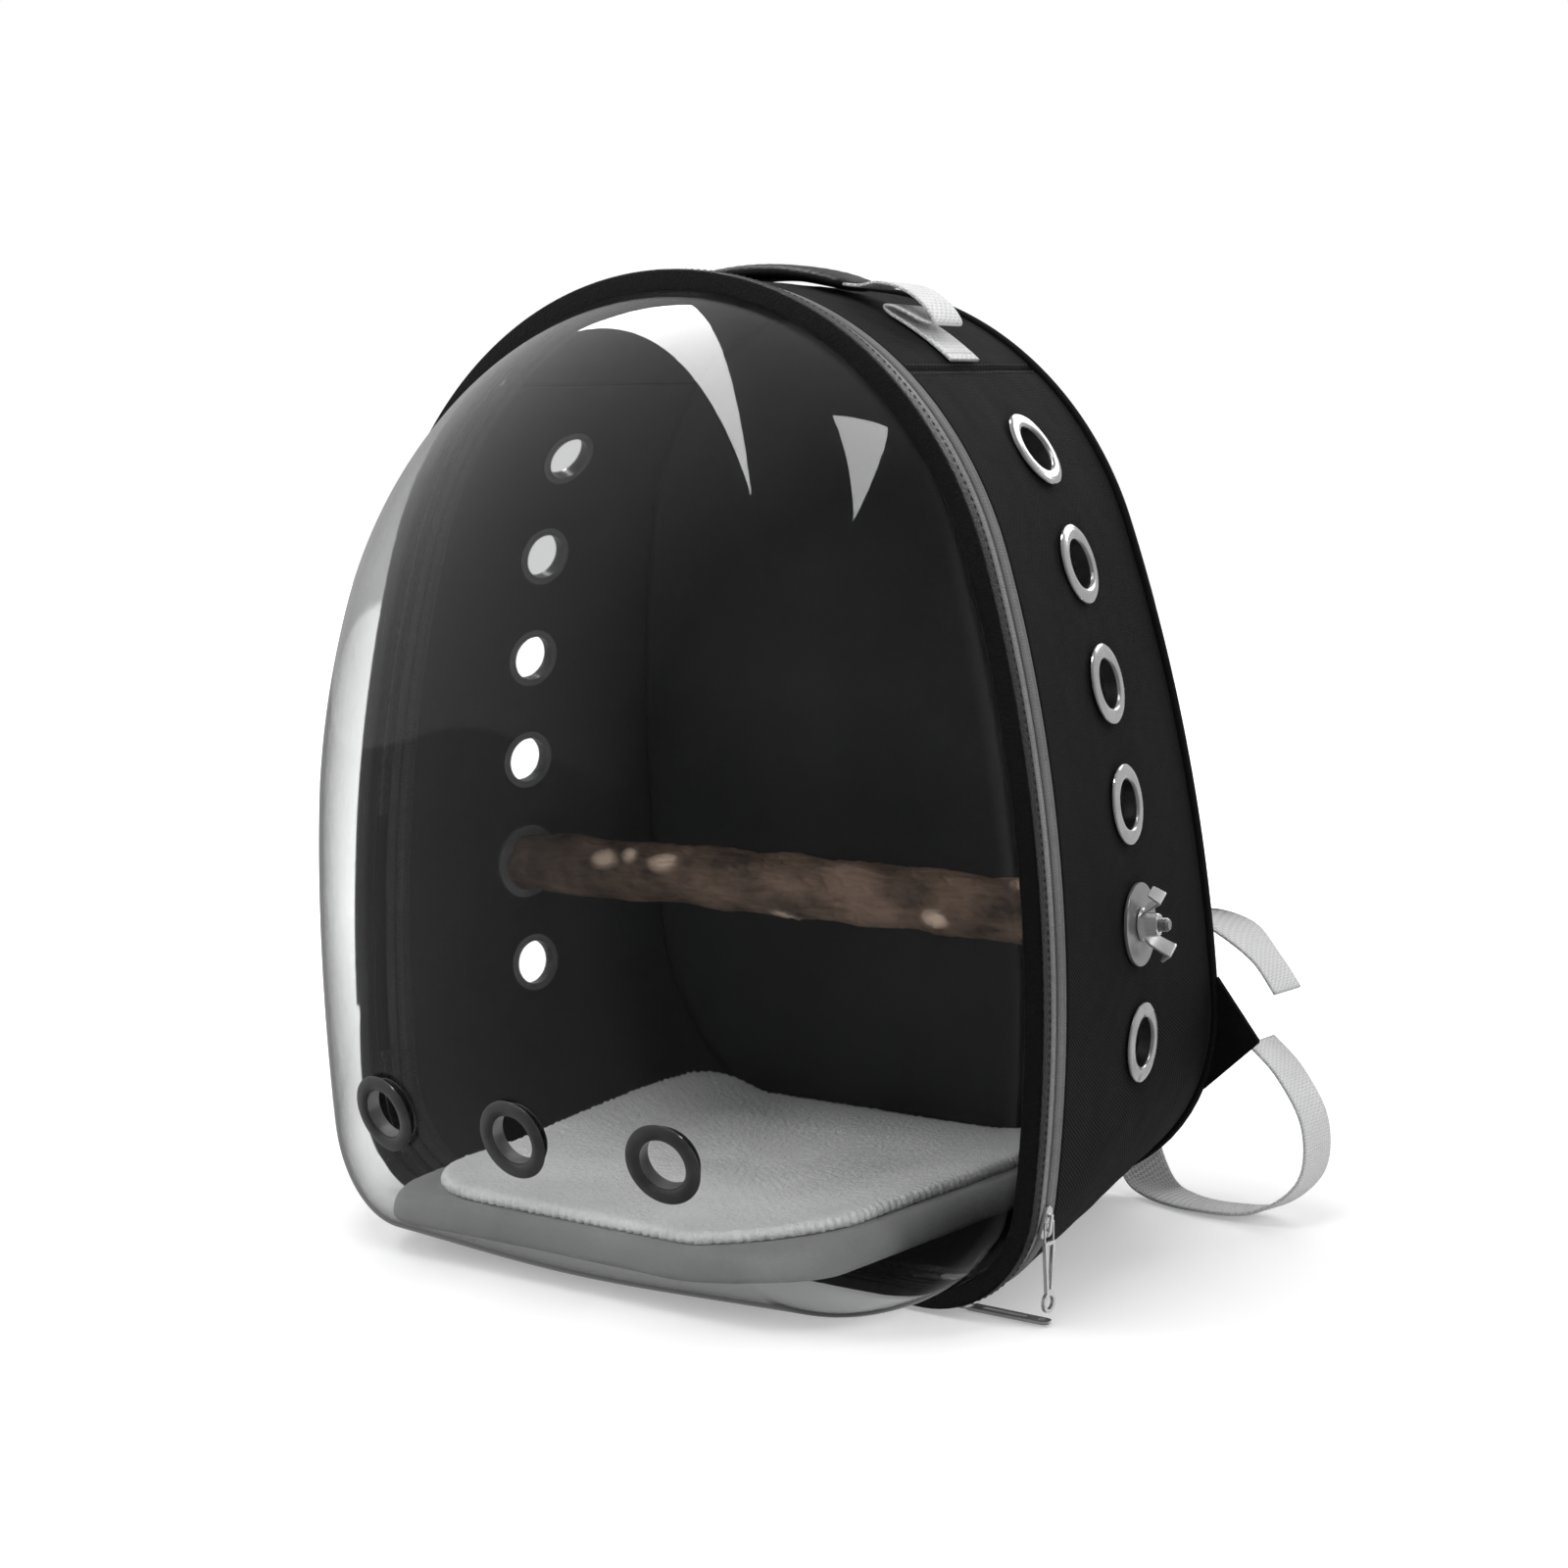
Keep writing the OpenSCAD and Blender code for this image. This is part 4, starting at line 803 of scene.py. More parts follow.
binding_skin = leather("binding_skin", (0.003, 0.003, 0.003), (0.012, 0.012, 0.0125))
binding_bm = bmesh.new()
add_band(binding_bm, binding_outline, whole_loop, at_front, (PERIMETER, 0.03))
close_up(binding_bm)
new_piece("binding_tape", binding_bm, "door", [binding_skin], ["dome_binding"])
line = [(at_front(f, BINDING_PROUD - 0.08, BINDING_Y - 1.5), at_front(f, 1, 0) - at_front(f, 0, 0)) for f in whole_loop]
stitches("binding_stitches", "door", line, 3.4, 2.4, 0.3)

# ZIP
# A coil zip, sewn in with its coils inwards: two grey tapes with a rounded fold along the
# slit, and under each fold half of the coil's teeth.
TAPE_T = 1.0
TAPE_W = 6.4
SLIT = 1.2
COIL_W = 3.0
COIL_T = 1.8
HINGE_LOW_Z = 66
HINGE_HIGH_Z = 176
hinge_from = 8 - FRONT.place_at(HINGE_HIGH_Z)
hinge_to = 8 - FRONT.place_at(HINGE_LOW_Z)
zip_fs = arch_steps(hinge_to - 8, hinge_from, 4.0)
# One grey tape in two copies: the door's is painted lighter and the shell's darker, as lit and shaded
door_tape_lit_copy = woven("door_tape_lit_copy", (0.13, 0.13, 0.133), (0.34, 0.34, 0.345), threads=1500.0, rough=0.62)
shell_tape_shaded_copy = woven("shell_tape_shaded_copy", (0.1, 0.1, 0.103), (0.27, 0.27, 0.275), threads=1500.0, rough=0.62)
coil_nylon = leather("coil_nylon", (0.012, 0.012, 0.013), (0.05, 0.05, 0.052), 0.35, 500.0)


def tape_outline(side):
    edge = SLIT / 2 + TAPE_W
    points = [(-TAPE_T, edge), (-0.05, edge), (-0.12, edge - 1.9), (0.18, edge - 2.5),
              (0.22, 1.4), (-0.1, SLIT / 2), (-TAPE_T, SLIT / 2), (-TAPE_T, 2.4)]
    return rounded([(d, side * y) for d, y in points], 0.5, 2)


def coil_place(f, d, y):
    return at_front(f, d, y)


for side, body, word, cloth in ((-1, "door", "door", door_tape_lit_copy), (1, "shell", "shell", shell_tape_shaded_copy)):
    tape_bm = bmesh.new()
    add_band(tape_bm, tape_outline(side), zip_fs, at_front, (PERIMETER, 0.016), False)
    close_up(tape_bm)
    new_piece("tape_" + word, tape_bm, body, [cloth], ["zip_tape_" + word])
    teeth = arch_steps(hinge_to - 8, hinge_from, 0.75)
    coil_bm = bmesh.new()
    coil_outline = [(-TAPE_T, SLIT / 2 + 0.1), (-TAPE_T, SLIT / 2 + COIL_W), (-TAPE_T - COIL_T * 0.8, SLIT / 2 + COIL_W),
                    (-TAPE_T - COIL_T, SLIT / 2 + COIL_W / 2), (-TAPE_T - COIL_T * 0.7, SLIT / 2 + 0.1)]
    ridge = {f: i % 2 for i, f in enumerate(teeth)}

    def tooth_place(f, d, y, side=side, ridge=ridge):
        low = d if not ridge[f] else max(d, -TAPE_T - COIL_T * 0.55)
        return at_front(f, low, side * y)

    add_band(coil_bm, coil_outline, teeth, tooth_place, (PERIMETER, 0.01), False)
    close_up(coil_bm)
    new_piece("coil_" + word, coil_bm, body, [coil_nylon], ["zip_coil_" + word])

# HINGE STRIP
# On the left the zip gives way to one strip of cloth, sewn to both sides, that the door
# turns on.
hinge_outline = [(-TAPE_T, y) for y in steps(-7, 7, 14)] + [(0, y) for y in steps(7, -7, 14)]


def hinge_place(f, d, y):
    return at_front(f, d - 0.35 * math.exp(-(y / 1.1) ** 2) - 0.15, y)


hinge_bm = bmesh.new()
add_band(hinge_bm, hinge_outline, arch_steps(hinge_from, hinge_to, 2.5), hinge_place, (0.11, 0.03), False)
close_up(hinge_bm)
hinge_strip = new_piece(
    "hinge_cloth", hinge_bm, "shell", [shell_cloth], ["hinge_strip_door", "hinge_strip_shell"]
)
hinge_strip.parent = None
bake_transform(hinge_strip)

# ZIP SLIDERS AND PULLS
# Two cast sliders in bright nickel: one pull is a long loop that ends in a ring, the other a
# long flat tab with a slot.


def make_scuffs():
    """Fine scratches and fingermarks on metal"""
    tree, given, gives = new_group("Scuffs", {"Vector": None, "Low": 0.08, "High": 0.25}, ["Roughness", "Height"])
    smear = add_node(tree, "TexNoise", {"Vector": given["Vector"], "Scale": 60.0, "Detail": 3.0})
    span = add_node(tree, "MapRange", {0: smear.outputs["Fac"], 1: 0.35, 2: 0.7, 3: given["Low"], 4: given["High"]})
    tree.links.new(span.outputs[0], gives["Roughness"])
    lines = add_node(tree, "TexNoise", {"Vector": given["Vector"], "Scale": 1400.0, "Detail": 2.0})
    tree.links.new(lines.outputs["Fac"], gives["Height"])
    return tree


SCUFFS = make_scuffs()


def metal(name, colour, worn, low, high):
    made, tree, bsdf = new_material(name)
    coords = add_node(tree, "TexCoord").outputs["Object"]
    scuffs = use_group(tree, SCUFFS, {"Vector": coords, "Low": low, "High": high})
    patch = use_group(tree, UNEVEN, {"Vector": coords, "Scale": 90.0, "Low": 0.0, "High": 1.0})
    tree.links.new(mix_colours(tree, patch["Value"], colour, worn), bsdf.inputs["Base Color"])
    tree.links.new(scuffs["Roughness"], bsdf.inputs["Roughness"])
    bsdf.inputs["Metallic"].default_value = 0.72
    bump(tree, bsdf, scuffs["Height"], 0.00001)
    return made


nickel = metal("bright_nickel", (0.82, 0.82, 0.83), (0.7, 0.7, 0.7), 0.12, 0.24)
chrome = metal("eyelet_chrome", (0.56, 0.56, 0.57), (0.45, 0.45, 0.45), 0.09, 0.2)
gun_metal = metal("dark_eyelet_metal", (0.16, 0.16, 0.165), (0.1, 0.1, 0.1), 0.12, 0.26)
# Dark metal for the inside of the sides' eyelet holes: a painted shade, not the ring's own colour
barrel_painted_shade = metal("hole_barrel_painted_shade", (0.07, 0.07, 0.072), (0.03, 0.03, 0.031), 0.25, 0.45)
zinc_and_rim_highlight = metal("zinc_plate_and_rim_highlight", (0.4, 0.4, 0.4), (0.3, 0.3, 0.305), 0.3, 0.46)


def refined(name, node, body, material, width, segments=2):
    """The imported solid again, with its edges broken"""
    bm = bmesh.new()
    bm.from_mesh(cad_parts[node].data)
    bmesh.ops.remove_doubles(bm, verts=bm.verts, dist=2e-6)
    bmesh.ops.dissolve_limit(bm, angle_limit=math.radians(2), verts=bm.verts, edges=bm.edges)
    piece = new_piece(name, bm, body, [material], [node], sharp=32)
    modifier(piece, "BEVEL", width=width * MM, segments=segments, limit_method="ANGLE",
             angle_limit=math.radians(32), use_clamp_overlap=True)
    return piece


refined("slider_right", "zip_slider_upper", "slider_upper", nickel, 0.25)
refined("slider_bottom", "zip_slider_lower", "slider_lower", nickel, 0.25)
refined("pull_loop", "zip_pull_upper", "pull_upper", nickel, 0.3)
refined("pull_tab", "zip_pull_lower", "pull_lower", nickel, 0.3)

# EYELETS
# Pressed brass rings, chromed on the sides and dark on the dome: a rolled flange outside, a
# barrel through the wall and a flat ring clenched behind it.
HOLE_R = 10.4
BARREL_R = 11.2
FLANGE_R = 16.8


def seat_matrix(seat):
    centre, up, out = seat
    across = out.cross(up)
    turn = Matrix((up, across, out)).transposed().to_4x4()
    return Matrix.Translation(metres(centre)) @ turn @ Matrix.Scale(MM, 4)


def add_turned(bm, outline, seat, segments=72, whole=True):
    """Outline of (radius, height) turned about a seat's way out"""
    verts = [bm.verts.new((r, 0, h)) for r, h in outline]
    ends = list(zip(verts, verts[1:] + verts[:1])) if whole else list(zip(verts, verts[1:]))
    edges = [bm.edges.new(pair) for pair in ends]
    before = set(bm.verts) - set(verts)
    bmesh.ops.spin(bm, geom=verts + edges, cent=(0, 0, 0), axis=(0, 0, 1), dvec=(0, 0, 0),
                   angle=math.tau, steps=segments, use_merge=True, use_duplicate=False)
    made = [vert for vert in bm.verts if vert not in before]
    bmesh.ops.transform(bm, matrix=seat_matrix(seat), verts=made)


def eyelet_outline(through):
    ring = [(HOLE_R, -through), (BARREL_R, -through), (BARREL_R, 0.15), (FLANGE_R - 0.7, 0.15),
            (FLANGE_R, 0.55), (FLANGE_R - 0.15, 1.1), (FLANGE_R - 1.1, 1.7)]
    crest = [(HOLE_R + 0.6 + 4.3 * k / 6, 1.75 + 0.4 * math.sin(math.pi * k / 6)) for k in range(6, -1, -1)]
    return ring + crest + [(HOLE_R + 0.1, 1.2), (HOLE_R, 0.6)]


def washer_outline(outer, inner, low, high):
    return rounded([(inner, low), (outer, low), (outer, high), (inner, high)], 0.25, 2)


def eyelet_set(name, seats, body, materials, lift, through, back, nodes):
    bm = bmesh.new()
    for seat in seats:
        raised = (seat[0] + seat[2] * lift, seat[1], seat[2])
        add_turned(bm, eyelet_outline(through), raised)
    close_up(bm)
    # Faces inside the hole take the second material: on the sides a painted shade, on the dome a painted highlight
    # round the inner rim
    for to_seat in [seat_matrix(seat).inverted() for seat in seats]:
        for face in bm.faces:
            spot = to_seat @ face.calc_center_median()
            if spot.xy.length < HOLE_R + 0.05 and abs(spot.z) < through + 1 and spot.z < lift + 0.5:
                face.material_index = 1
    new_piece(name, bm, body, materials, [nodes[0]], sharp=40)
    bm = bmesh.new()
    for seat in seats:
        add_turned(bm, washer_outline(FLANGE_R - 3, BARREL_R + 0.1, back - 0.8, back), seat, 64)
    close_up(bm)
    new_piece(name + "_backs", bm, body, materials[:1], [nodes[1]], sharp=40)


eyelet_set("eyelets_right", eyelet_seats, "shell", [chrome, barrel_painted_shade], 0.0, 4.6, -3.7,
           ["right_eyelets", "right_eyelet_washers"])
eyelet_set("eyelets_left", left_of(eyelet_seats), "shell", [chrome, barrel_painted_shade], 0.0, 4.6, -3.7,
           ["left_eyelets", "left_eyelet_washers"])
# The dome's eyelets take the lighter zinc inside their holes as a painted highlight round the inner rim; the bolts and
# washers are really zinc
eyelet_set("eyelets_dome", dome_seats, "door", [gun_metal, zinc_and_rim_highlight], 1.2, 5.49, -3.39,
           ["dome_eyelets", "dome_eyelet_washers"])

# BACK
# The back is a flat panel of cloth over a plastic sheet, lined inside, with three crowned
# cushions of spacer mesh down its middle.
BACK_Y = -0.4
PANEL_T = 2.6
RING_D = -WALL - 0.5 - TOUCH


def back_sheet(name, y, thickness, material, node, swell=0.0):
    bm = bmesh.new()

    def place(f, share):
        edge = at_rear(f, RING_D, 0)
        x, z = edge[0] * share, 200 + (edge[2] - 200) * share
        give = swell * (1 - share**6) * noise.noise(Vector((x * 0.012, z * 0.012, 5)))
        return Vector((x, rear_y(z) + y + give, z))

    add_surface(bm, arch_steps(0, 8, 6.0), steps(1, 0, 40), place, (PERIMETER, 0.2))
    uv = bm.loops.layers.uv.verify()
    for face in bm.faces:
        for loop in face.loops:
            loop[uv].uv = (loop.vert.co.x, loop.vert.co.z)
    close_up(bm)
    if bm.faces[:][40].normal.y < 0:
        bmesh.ops.reverse_faces(bm, faces=bm.faces)
    piece = new_piece(name, bm, "shell", [material], [node])
    modifier(piece, "SOLIDIFY", thickness=thickness * MM, offset=-1, use_even_offset=False)
    return piece


back_sheet("back_cloth", BACK_Y, PANEL_T, shell_cloth, "back_panel", 0.35)
back_sheet("back_inner_cloth", BACK_Y - PANEL_T - 2.6, 1.0, lining_cloth, "back_lining", 0.0)


def spacer_mesh(name, dark, light):
    """Knitted spacer mesh: rows of small round holes, painted darker as the shade inside them"""
    made, tree, bsdf = new_material(name)
    coords = add_node(tree, "TexCoord").outputs
    holes = add_node(tree, "TexVoronoi", {"Vector": coords["UV"], "Scale": 420.0, "Randomness": 0.15})
    ring = add_node(tree, "MapRange", {0: holes.outputs["Distance"], 1: 0.22, 2: 0.42})
    dust = use_group(tree, UNEVEN, {"Vector": coords["Object"], "Scale": 11.0, "Low": 0.4, "High": 1.0})
    # The holes are painted dark as shade; the dust is the mesh's own
    share = sum_of(tree, [ring.outputs[0], dust["Value"]], "MULTIPLY")
    tree.links.new(mix_colours(tree, share, dark, light), bsdf.inputs["Base Color"])
    bsdf.inputs["Roughness"].default_value = 0.85
    bsdf.inputs["Sheen Weight"].default_value = 0.2
    bump(tree, bsdf, ring.outputs[0], 0.0006)
    return made


pad_mesh = spacer_mesh("pad_mesh", (0.004, 0.004, 0.004), (0.05, 0.05, 0.052))
BACK_PAD_T = 7
BACK_PAD_HALF = 44


def puffed(piece, cap, pressure=3.5, frames=16):
    """Blow a closed piece up a little as cloth, and keep each point within cap of its start"""
    scene.frame_set(1)
    cloth = modifier(piece, "CLOTH")
    cloth.settings.quality = 4
    cloth.settings.mass = 0.25
    cloth.settings.tension_stiffness = 12
    cloth.settings.compression_stiffness = 12
    cloth.settings.use_pressure = True
    cloth.settings.uniform_pressure_force = pressure
    cloth.settings.effector_weights.gravity = 0
    start = [vert.co.copy() for vert in piece.data.vertices]
    for count in range(1, frames + 1):
        scene.frame_set(count)
    graph = bpy.context.evaluated_depsgraph_get()
    moved = [vert.co.copy() for vert in piece.evaluated_get(graph).data.vertices]
    piece.modifiers.remove(cloth)
    for vert, a, b in zip(piece.data.vertices, start, moved):
        way = b - a
        vert.co = a + way * min(1, cap * MM / max(way.length, 1e-9))
    scene.frame_set(1)


def add_cushion(bm, x0, x1, z0, z1, depth, lift):
    """Crowned cushion on the back: its sides draw in between its corners"""

    def place(u, v):
        side, s = u
        draw = 1 - 0.025 * (1 - v * v) * abs(s) ** 3
        x = mix(x0, x1, (s * draw + 1) / 2)
        z = mix(z0, z1, (v * (1 - 0.04 * (1 - s * s) * abs(v) ** 3) + 1) / 2)
        crown = math.sqrt(max(0, (1 - abs(s) ** 4) * (1 - abs(v) ** 4)))
        high = 0.3 + (depth - 0.6) * (0.5 + 0.5 * side) * crown
        return Vector((x, rear_y(z) + lift + max(0.3, high), z))

    around = [(1, s) for s in steps(-1, 1, 36)] + [(-1, s) for s in steps(1, -1, 36)]
    add_surface(bm, around, steps(-1, 1, 30), place, (2 * (x1 - x0) * MM, (z1 - z0) * MM))


for row, (z0, z1) in enumerate(((110, 178), (186, 254), (262, 330))):
    cushion_bm = bmesh.new()
    add_cushion(cushion_bm, -BACK_PAD_HALF, BACK_PAD_HALF, z0, z1, BACK_PAD_T, BACK_Y)
    bmesh.ops.remove_doubles(cushion_bm, verts=cushion_bm.verts, dist=2e-5)
    close_up(cushion_bm)
    replaced = ["back_pads"] if row == 0 else []
    cushion = new_piece("back_cushion_%d" % row, cushion_bm, "shell", [pad_mesh], replaced)
    puffed(cushion, 0.9)

# FLOOR BOARD, PAD AND MAT
# A stiff board and a foam pad cover the floor. The thick mat lies on them and reaches into the
# dome: light grey plush, cut with pinking shears, on a wider base of darker grey foam. The base's
# darker grey is partly its own and partly a painted shade for the shadowed dome floor under the mat.
PAD_Z = 6.1
PAD_T = 8
MAT_Z = 14.4
MAT_T = 18.5
MAT_SLOPE = 6
MAT_FRONT = 74
MAT_BACK = 160
MAT_HALF = 112
MAT_FRONT_R = 58
MAT_BACK_R = 26
PLUSH_T = 5
TOOTH_PITCH = 4.4
TOOTH_DEPTH = 1.3


def ramp(x, low, high):
    t = max(0, min(1, (x - low) / (high - low)))
    return t * t * (3 - 2 * t)


def cradle(x, y):
    t = max(0, min(1, y / DEPTH_LOW))
    r = mix(50, 100, t)
    dx = max(0, abs(x) - mix(FRONT.corner_cx, REAR.corner_cx, t))
    return GROUND_GAP + r - math.sqrt(max(0, (r - WALL) ** 2 - dx * dx))


def mat_low(x, y):
    curl = 12 * ramp(-x, 70, MAT_HALF) * ramp(y, -20, 120) + 6 * ramp(x, 50, MAT_HALF) + 2 * ramp(y, 120, MAT_BACK)
    return max(MAT_Z + curl, cradle(x, y) + 1)


def mat_outline(half, front, back, front_r, back_r, pitch):
    """Points round a mat with rounded corners, about one pitch apart, and the way out at each"""
    corners = [(half - back_r, back - back_r, back_r, 0), (-half + back_r, back - back_r, back_r, 90),
               (-half + front_r, -front + front_r, front_r, 180), (half - front_r, -front + front_r, front_r, 270)]
    path = []
    for cx, cy, r, turn in corners:
        for k in range(25):
            a = math.radians(turn + 90 * k / 24)
            path.append((Vector((cx + r * math.cos(a), cy + r * math.sin(a))), Vector((math.cos(a), math.sin(a)))))
    path.append(path[0])
    run = [0.0]
    for (a, _), (b, _) in zip(path, path[1:]):
        run.append(run[-1] + (b - a).length)
    count = 4 * round(run[-1] / pitch / 4)
    points = []
    k = 0
    for i in range(count):
        here = run[-1] * i / count
        while run[k + 1] < here:
            k += 1
        t = (here - run[k]) / max(1e-9, run[k + 1] - run[k])
        points.append((path[k][0].lerp(path[k + 1][0], t), path[k][1].lerp(path[k + 1][1], t).normalized()))
    return points


def plush(name, dark, light, scale=420.0, depth=0.0016):
    """Short dense pile: tufts painted lighter at their tips, as a highlight where they catch the light"""
    made, tree, bsdf = new_material(name)
    coords = add_node(tree, "TexCoord").outputs["Object"]
    tufts = add_node(tree, "TexNoise", {"Vector": coords, "Scale": scale, "Detail": 4.0, "Roughness": 0.65})
    brushed = use_group(tree, UNEVEN, {"Vector": coords, "Scale": 22.0, "Low": 0.0, "High": 0.7})
    # The tufts' tips are painted lighter as highlight; the brushed patches are the pile's own
    share = add_node(tree, "Math", {0: tufts.outputs["Fac"], 1: 0.7, 2: brushed["Value"]}, operation="MULTIPLY_ADD")
    tree.links.new(mix_colours(tree, share.outputs[0], dark, light), bsdf.inputs["Base Color"])
    bsdf.inputs["Roughness"].default_value = 1.0
    bsdf.inputs["Specular IOR Level"].default_value = 0.2
    bsdf.inputs["Sheen Weight"].default_value = 0.2
    bump(tree, bsdf, tufts.outputs["Fac"], depth)
    return made


mat_pile = plush("mat_pile", (0.66, 0.66, 0.665), (0.9, 0.9, 0.9))
# The base's grey is partly the foam's own colour and partly a painted shade, standing for the shadowed floor of the
# dome under the mat
mat_base_foam_and_shade = plush("mat_base_foam_and_shade", (0.19, 0.19, 0.192), (0.3, 0.3, 0.302), 900.0, 0.0005)


def mat_skin(bm, outlines, rings, size):
    """Closed skin through rings of (outline blend, share of the way out, height over the underside)"""
    inner, outer = outlines

    def place(k, ring):
        blend, share, height, nap = ring
        k %= len(inner)
        (a, way), (b, _) = inner[k], outer[k]
        edge = a.lerp(b, blend)
        tooth = TOOTH_DEPTH * abs(2 * (k / 4 % 1) - 1) if nap > 0.5 else 0
        p = (edge - way * tooth) * share
        p.y += (MAT_BACK - MAT_FRONT) / 2 * (1 - share)
        fuzz = noise.noise(Vector((p.x * 0.33, p.y * 0.33, 0))) * 0.5 + noise.noise(Vector((p.x, p.y, 7))) * 0.35
        fuzz += 0.5 * noise.noise(Vector((p.x * 0.02, p.y * 0.02, 2)))
        return Vector((p.x, p.y, mat_low(p.x, p.y) + height + fuzz * nap))

    add_surface(bm, list(range(len(inner) + 1)), rings, place, size)
    bmesh.ops.remove_doubles(bm, verts=bm.verts, dist=2e-6)
    bmesh.ops.holes_fill(bm, edges=[edge for edge in bm.edges if edge.is_boundary])
    close_up(bm)


plush_outline = mat_outline(MAT_HALF - MAT_SLOPE, MAT_FRONT - MAT_SLOPE + 2, MAT_BACK - 4, MAT_FRONT_R - 6,
                            MAT_BACK_R, TOOTH_PITCH / 4)
base_outline = mat_outline(MAT_HALF + 5, MAT_FRONT + 1, MAT_BACK, 30, MAT_BACK_R, TOOTH_PITCH / 4)
base_outline = [base_outline[round(k * len(base_outline) / len(plush_outline)) % len(base_outline)]
                for k in range(len(plush_outline))]
plush_low = MAT_T - PLUSH_T
plush_rings = [(0, share, MAT_T, 1) for share in (0.02, *steps(0.06, 0.94, 34))]
plush_rings += [(0, 0.97, MAT_T - 0.1, 1), (0, 0.985, MAT_T - 0.5, 1), (0, 0.996, MAT_T - 1.6, 1),
                (0, 1.0, MAT_T - 3.2, 0.9), (0, 0.998, plush_low, 0.6), (0, 0.97, plush_low, 0.0),
                (0, 0.5, plush_low, 0.0), (0, 0.02, plush_low, 0.0)]
plush_bm = bmesh.new()
mat_skin(plush_bm, (plush_outline, plush_outline), plush_rings, (0.9, 0.2))
mat_top = new_piece("mat_plush", plush_bm, "mat", [mat_pile], ["plush_mat"])
base_rings = [(0, share, plush_low - 0.3, 0.0) for share in (0.02, 0.5, 0.9)]
base_rings += [(0.25 + 0.75 * math.sin(math.pi / 2 * t), 1.0, mix(0.4, plush_low - 0.3, math.cos(math.pi / 2 * t) ** 0.8),
                0.3 * math.sin(math.pi * t)) for t in steps(0, 1, 14)]
base_rings += [(1.0, share, 0.3, 0.0) for share in (0.97, 0.5, 0.02)]
base_bm = bmesh.new()
mat_skin(base_bm, (plush_outline, base_outline), base_rings, (0.9, 0.2))
new_piece("mat_base", base_bm, "mat", [mat_base_foam_and_shade])

board_plastic = leather("board_plastic", (0.03, 0.03, 0.03), (0.06, 0.06, 0.06), 0.5, 700.0)
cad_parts["floor_board"].data.materials.clear()
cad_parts["floor_board"].data.materials.append(board_plastic)
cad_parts["back_board"].data.materials.clear()
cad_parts["back_board"].data.materials.append(board_plastic)
BOARD_FROM = 0.12
BOARD_TO = 0.92
BOARD_SHARE = 0.84


def pad_place(u, v):
    side, s = u
    t = mix(BOARD_FROM, BOARD_TO, v)
    corner = on_wall(1, t)
    edge = max(abs(s), abs(2 * v - 1)) ** 14
    z = PAD_Z + (PAD_T * (1 - 0.5 * edge) if side > 0 else 0.2 + 0.5 * PAD_T * edge)
    return Vector((s * (corner[0] * BOARD_SHARE - 0.4), corner[1], z))


pad_bm = bmesh.new()
pad_us = [(1, s) for s in steps(-1, 1, 40)] + [(-1, s) for s in steps(1, -1, 40)]
add_surface(pad_bm, pad_us, steps(0, 1, 40), pad_place, (0.42, 0.17))
bmesh.ops.remove_doubles(pad_bm, verts=pad_bm.verts, dist=2e-5)
close_up(pad_bm)
foam_pad = new_piece("foam_pad", pad_bm, "shell", [lining_cloth], ["floor_pad"])

# PERCH
# A cut branch with its bark on, nearly straight, held at each end by a bolt through the wall
# with a big washer on both faces of the cloth.
PERCH_R = 13.6
WASHER_R = 17.4
WASHER_T = 1.5
BOLT_R = 3.0
NUT_H = 8
perch_p, perch_up, perch_n = perch_seat
perch_end = perch_p - perch_n * (WALL + WASHER_T + 3 * TOUCH)
KNOTS = ((-0.66, 150, 7, 4.2), (-0.57, 138, 4, 3.4), (-0.44, 146, 8, 4.6), (0.12, 60, 7, 4.5),
         (0.46, 205, 6, 4.0), (0.71, 110, 5, 3.6), (-0.05, 250, 7, 4.4))


def bark(angle, s):
    """Radius of the branch, and how much of a pale knot there is"""
    turn = math.radians(angle)
    r = PERCH_R + 0.5 * math.sin(math.radians(3 * angle + 260 * s))
    r += 0.45 * math.sin(math.radians(5 * angle - 900 * s)) + 0.5 * math.sin(math.radians(1400 * s + 2 * angle))
    spot = Vector((math.cos(turn) * 1.7, math.sin(turn) * 1.7, s * 9))
    crack = 1 - abs(noise.noise(spot * 1.9)) * 2
    r += 0.9 * noise.noise(spot) + 0.45 * noise.noise(spot * 4.1) - 0.9 * max(0, crack - 0.72) / 0.28
    r += 0.22 * noise.noise(Vector((spot.x * 9, spot.y * 9, s * 60)))
    knot = 0.0
    for ks, ka, length, wide in KNOTS:
        da = (angle - ka + 180) % 360 - 180
        reach = ((s - ks) * 165 / length) ** 2 + (da * PERCH_R * math.pi / 180 / wide) ** 2
        knot = max(knot, math.exp(-(reach**2)))
        r += 0.9 * math.exp(-((reach - 1.1) ** 2) * 6) - 0.5 * math.exp(-reach * 3)
    return r, knot


def perch_y(s):
    return perch_p[1] + 1.6 * math.sin(math.pi * s) * (1 - s * s)


def perch_z(s):
    return perch_p[2] + 1.4 * math.cos(math.radians(140 * s)) * (1 - s * s)


def perch_place(u, row):
    s, share = row
    r, knot = bark(u, s)
    r *= share
    y = perch_y(s) + r * math.cos(math.radians(u))
    z = perch_z(s) + r * math.sin(math.radians(u))
    away = perch_n[1] * (y - perch_end[1]) + perch_n[2] * (z - perch_end[2])
    reach = perch_end[0] - away / perch_n[0]
    return Vector((s * reach, y, z))


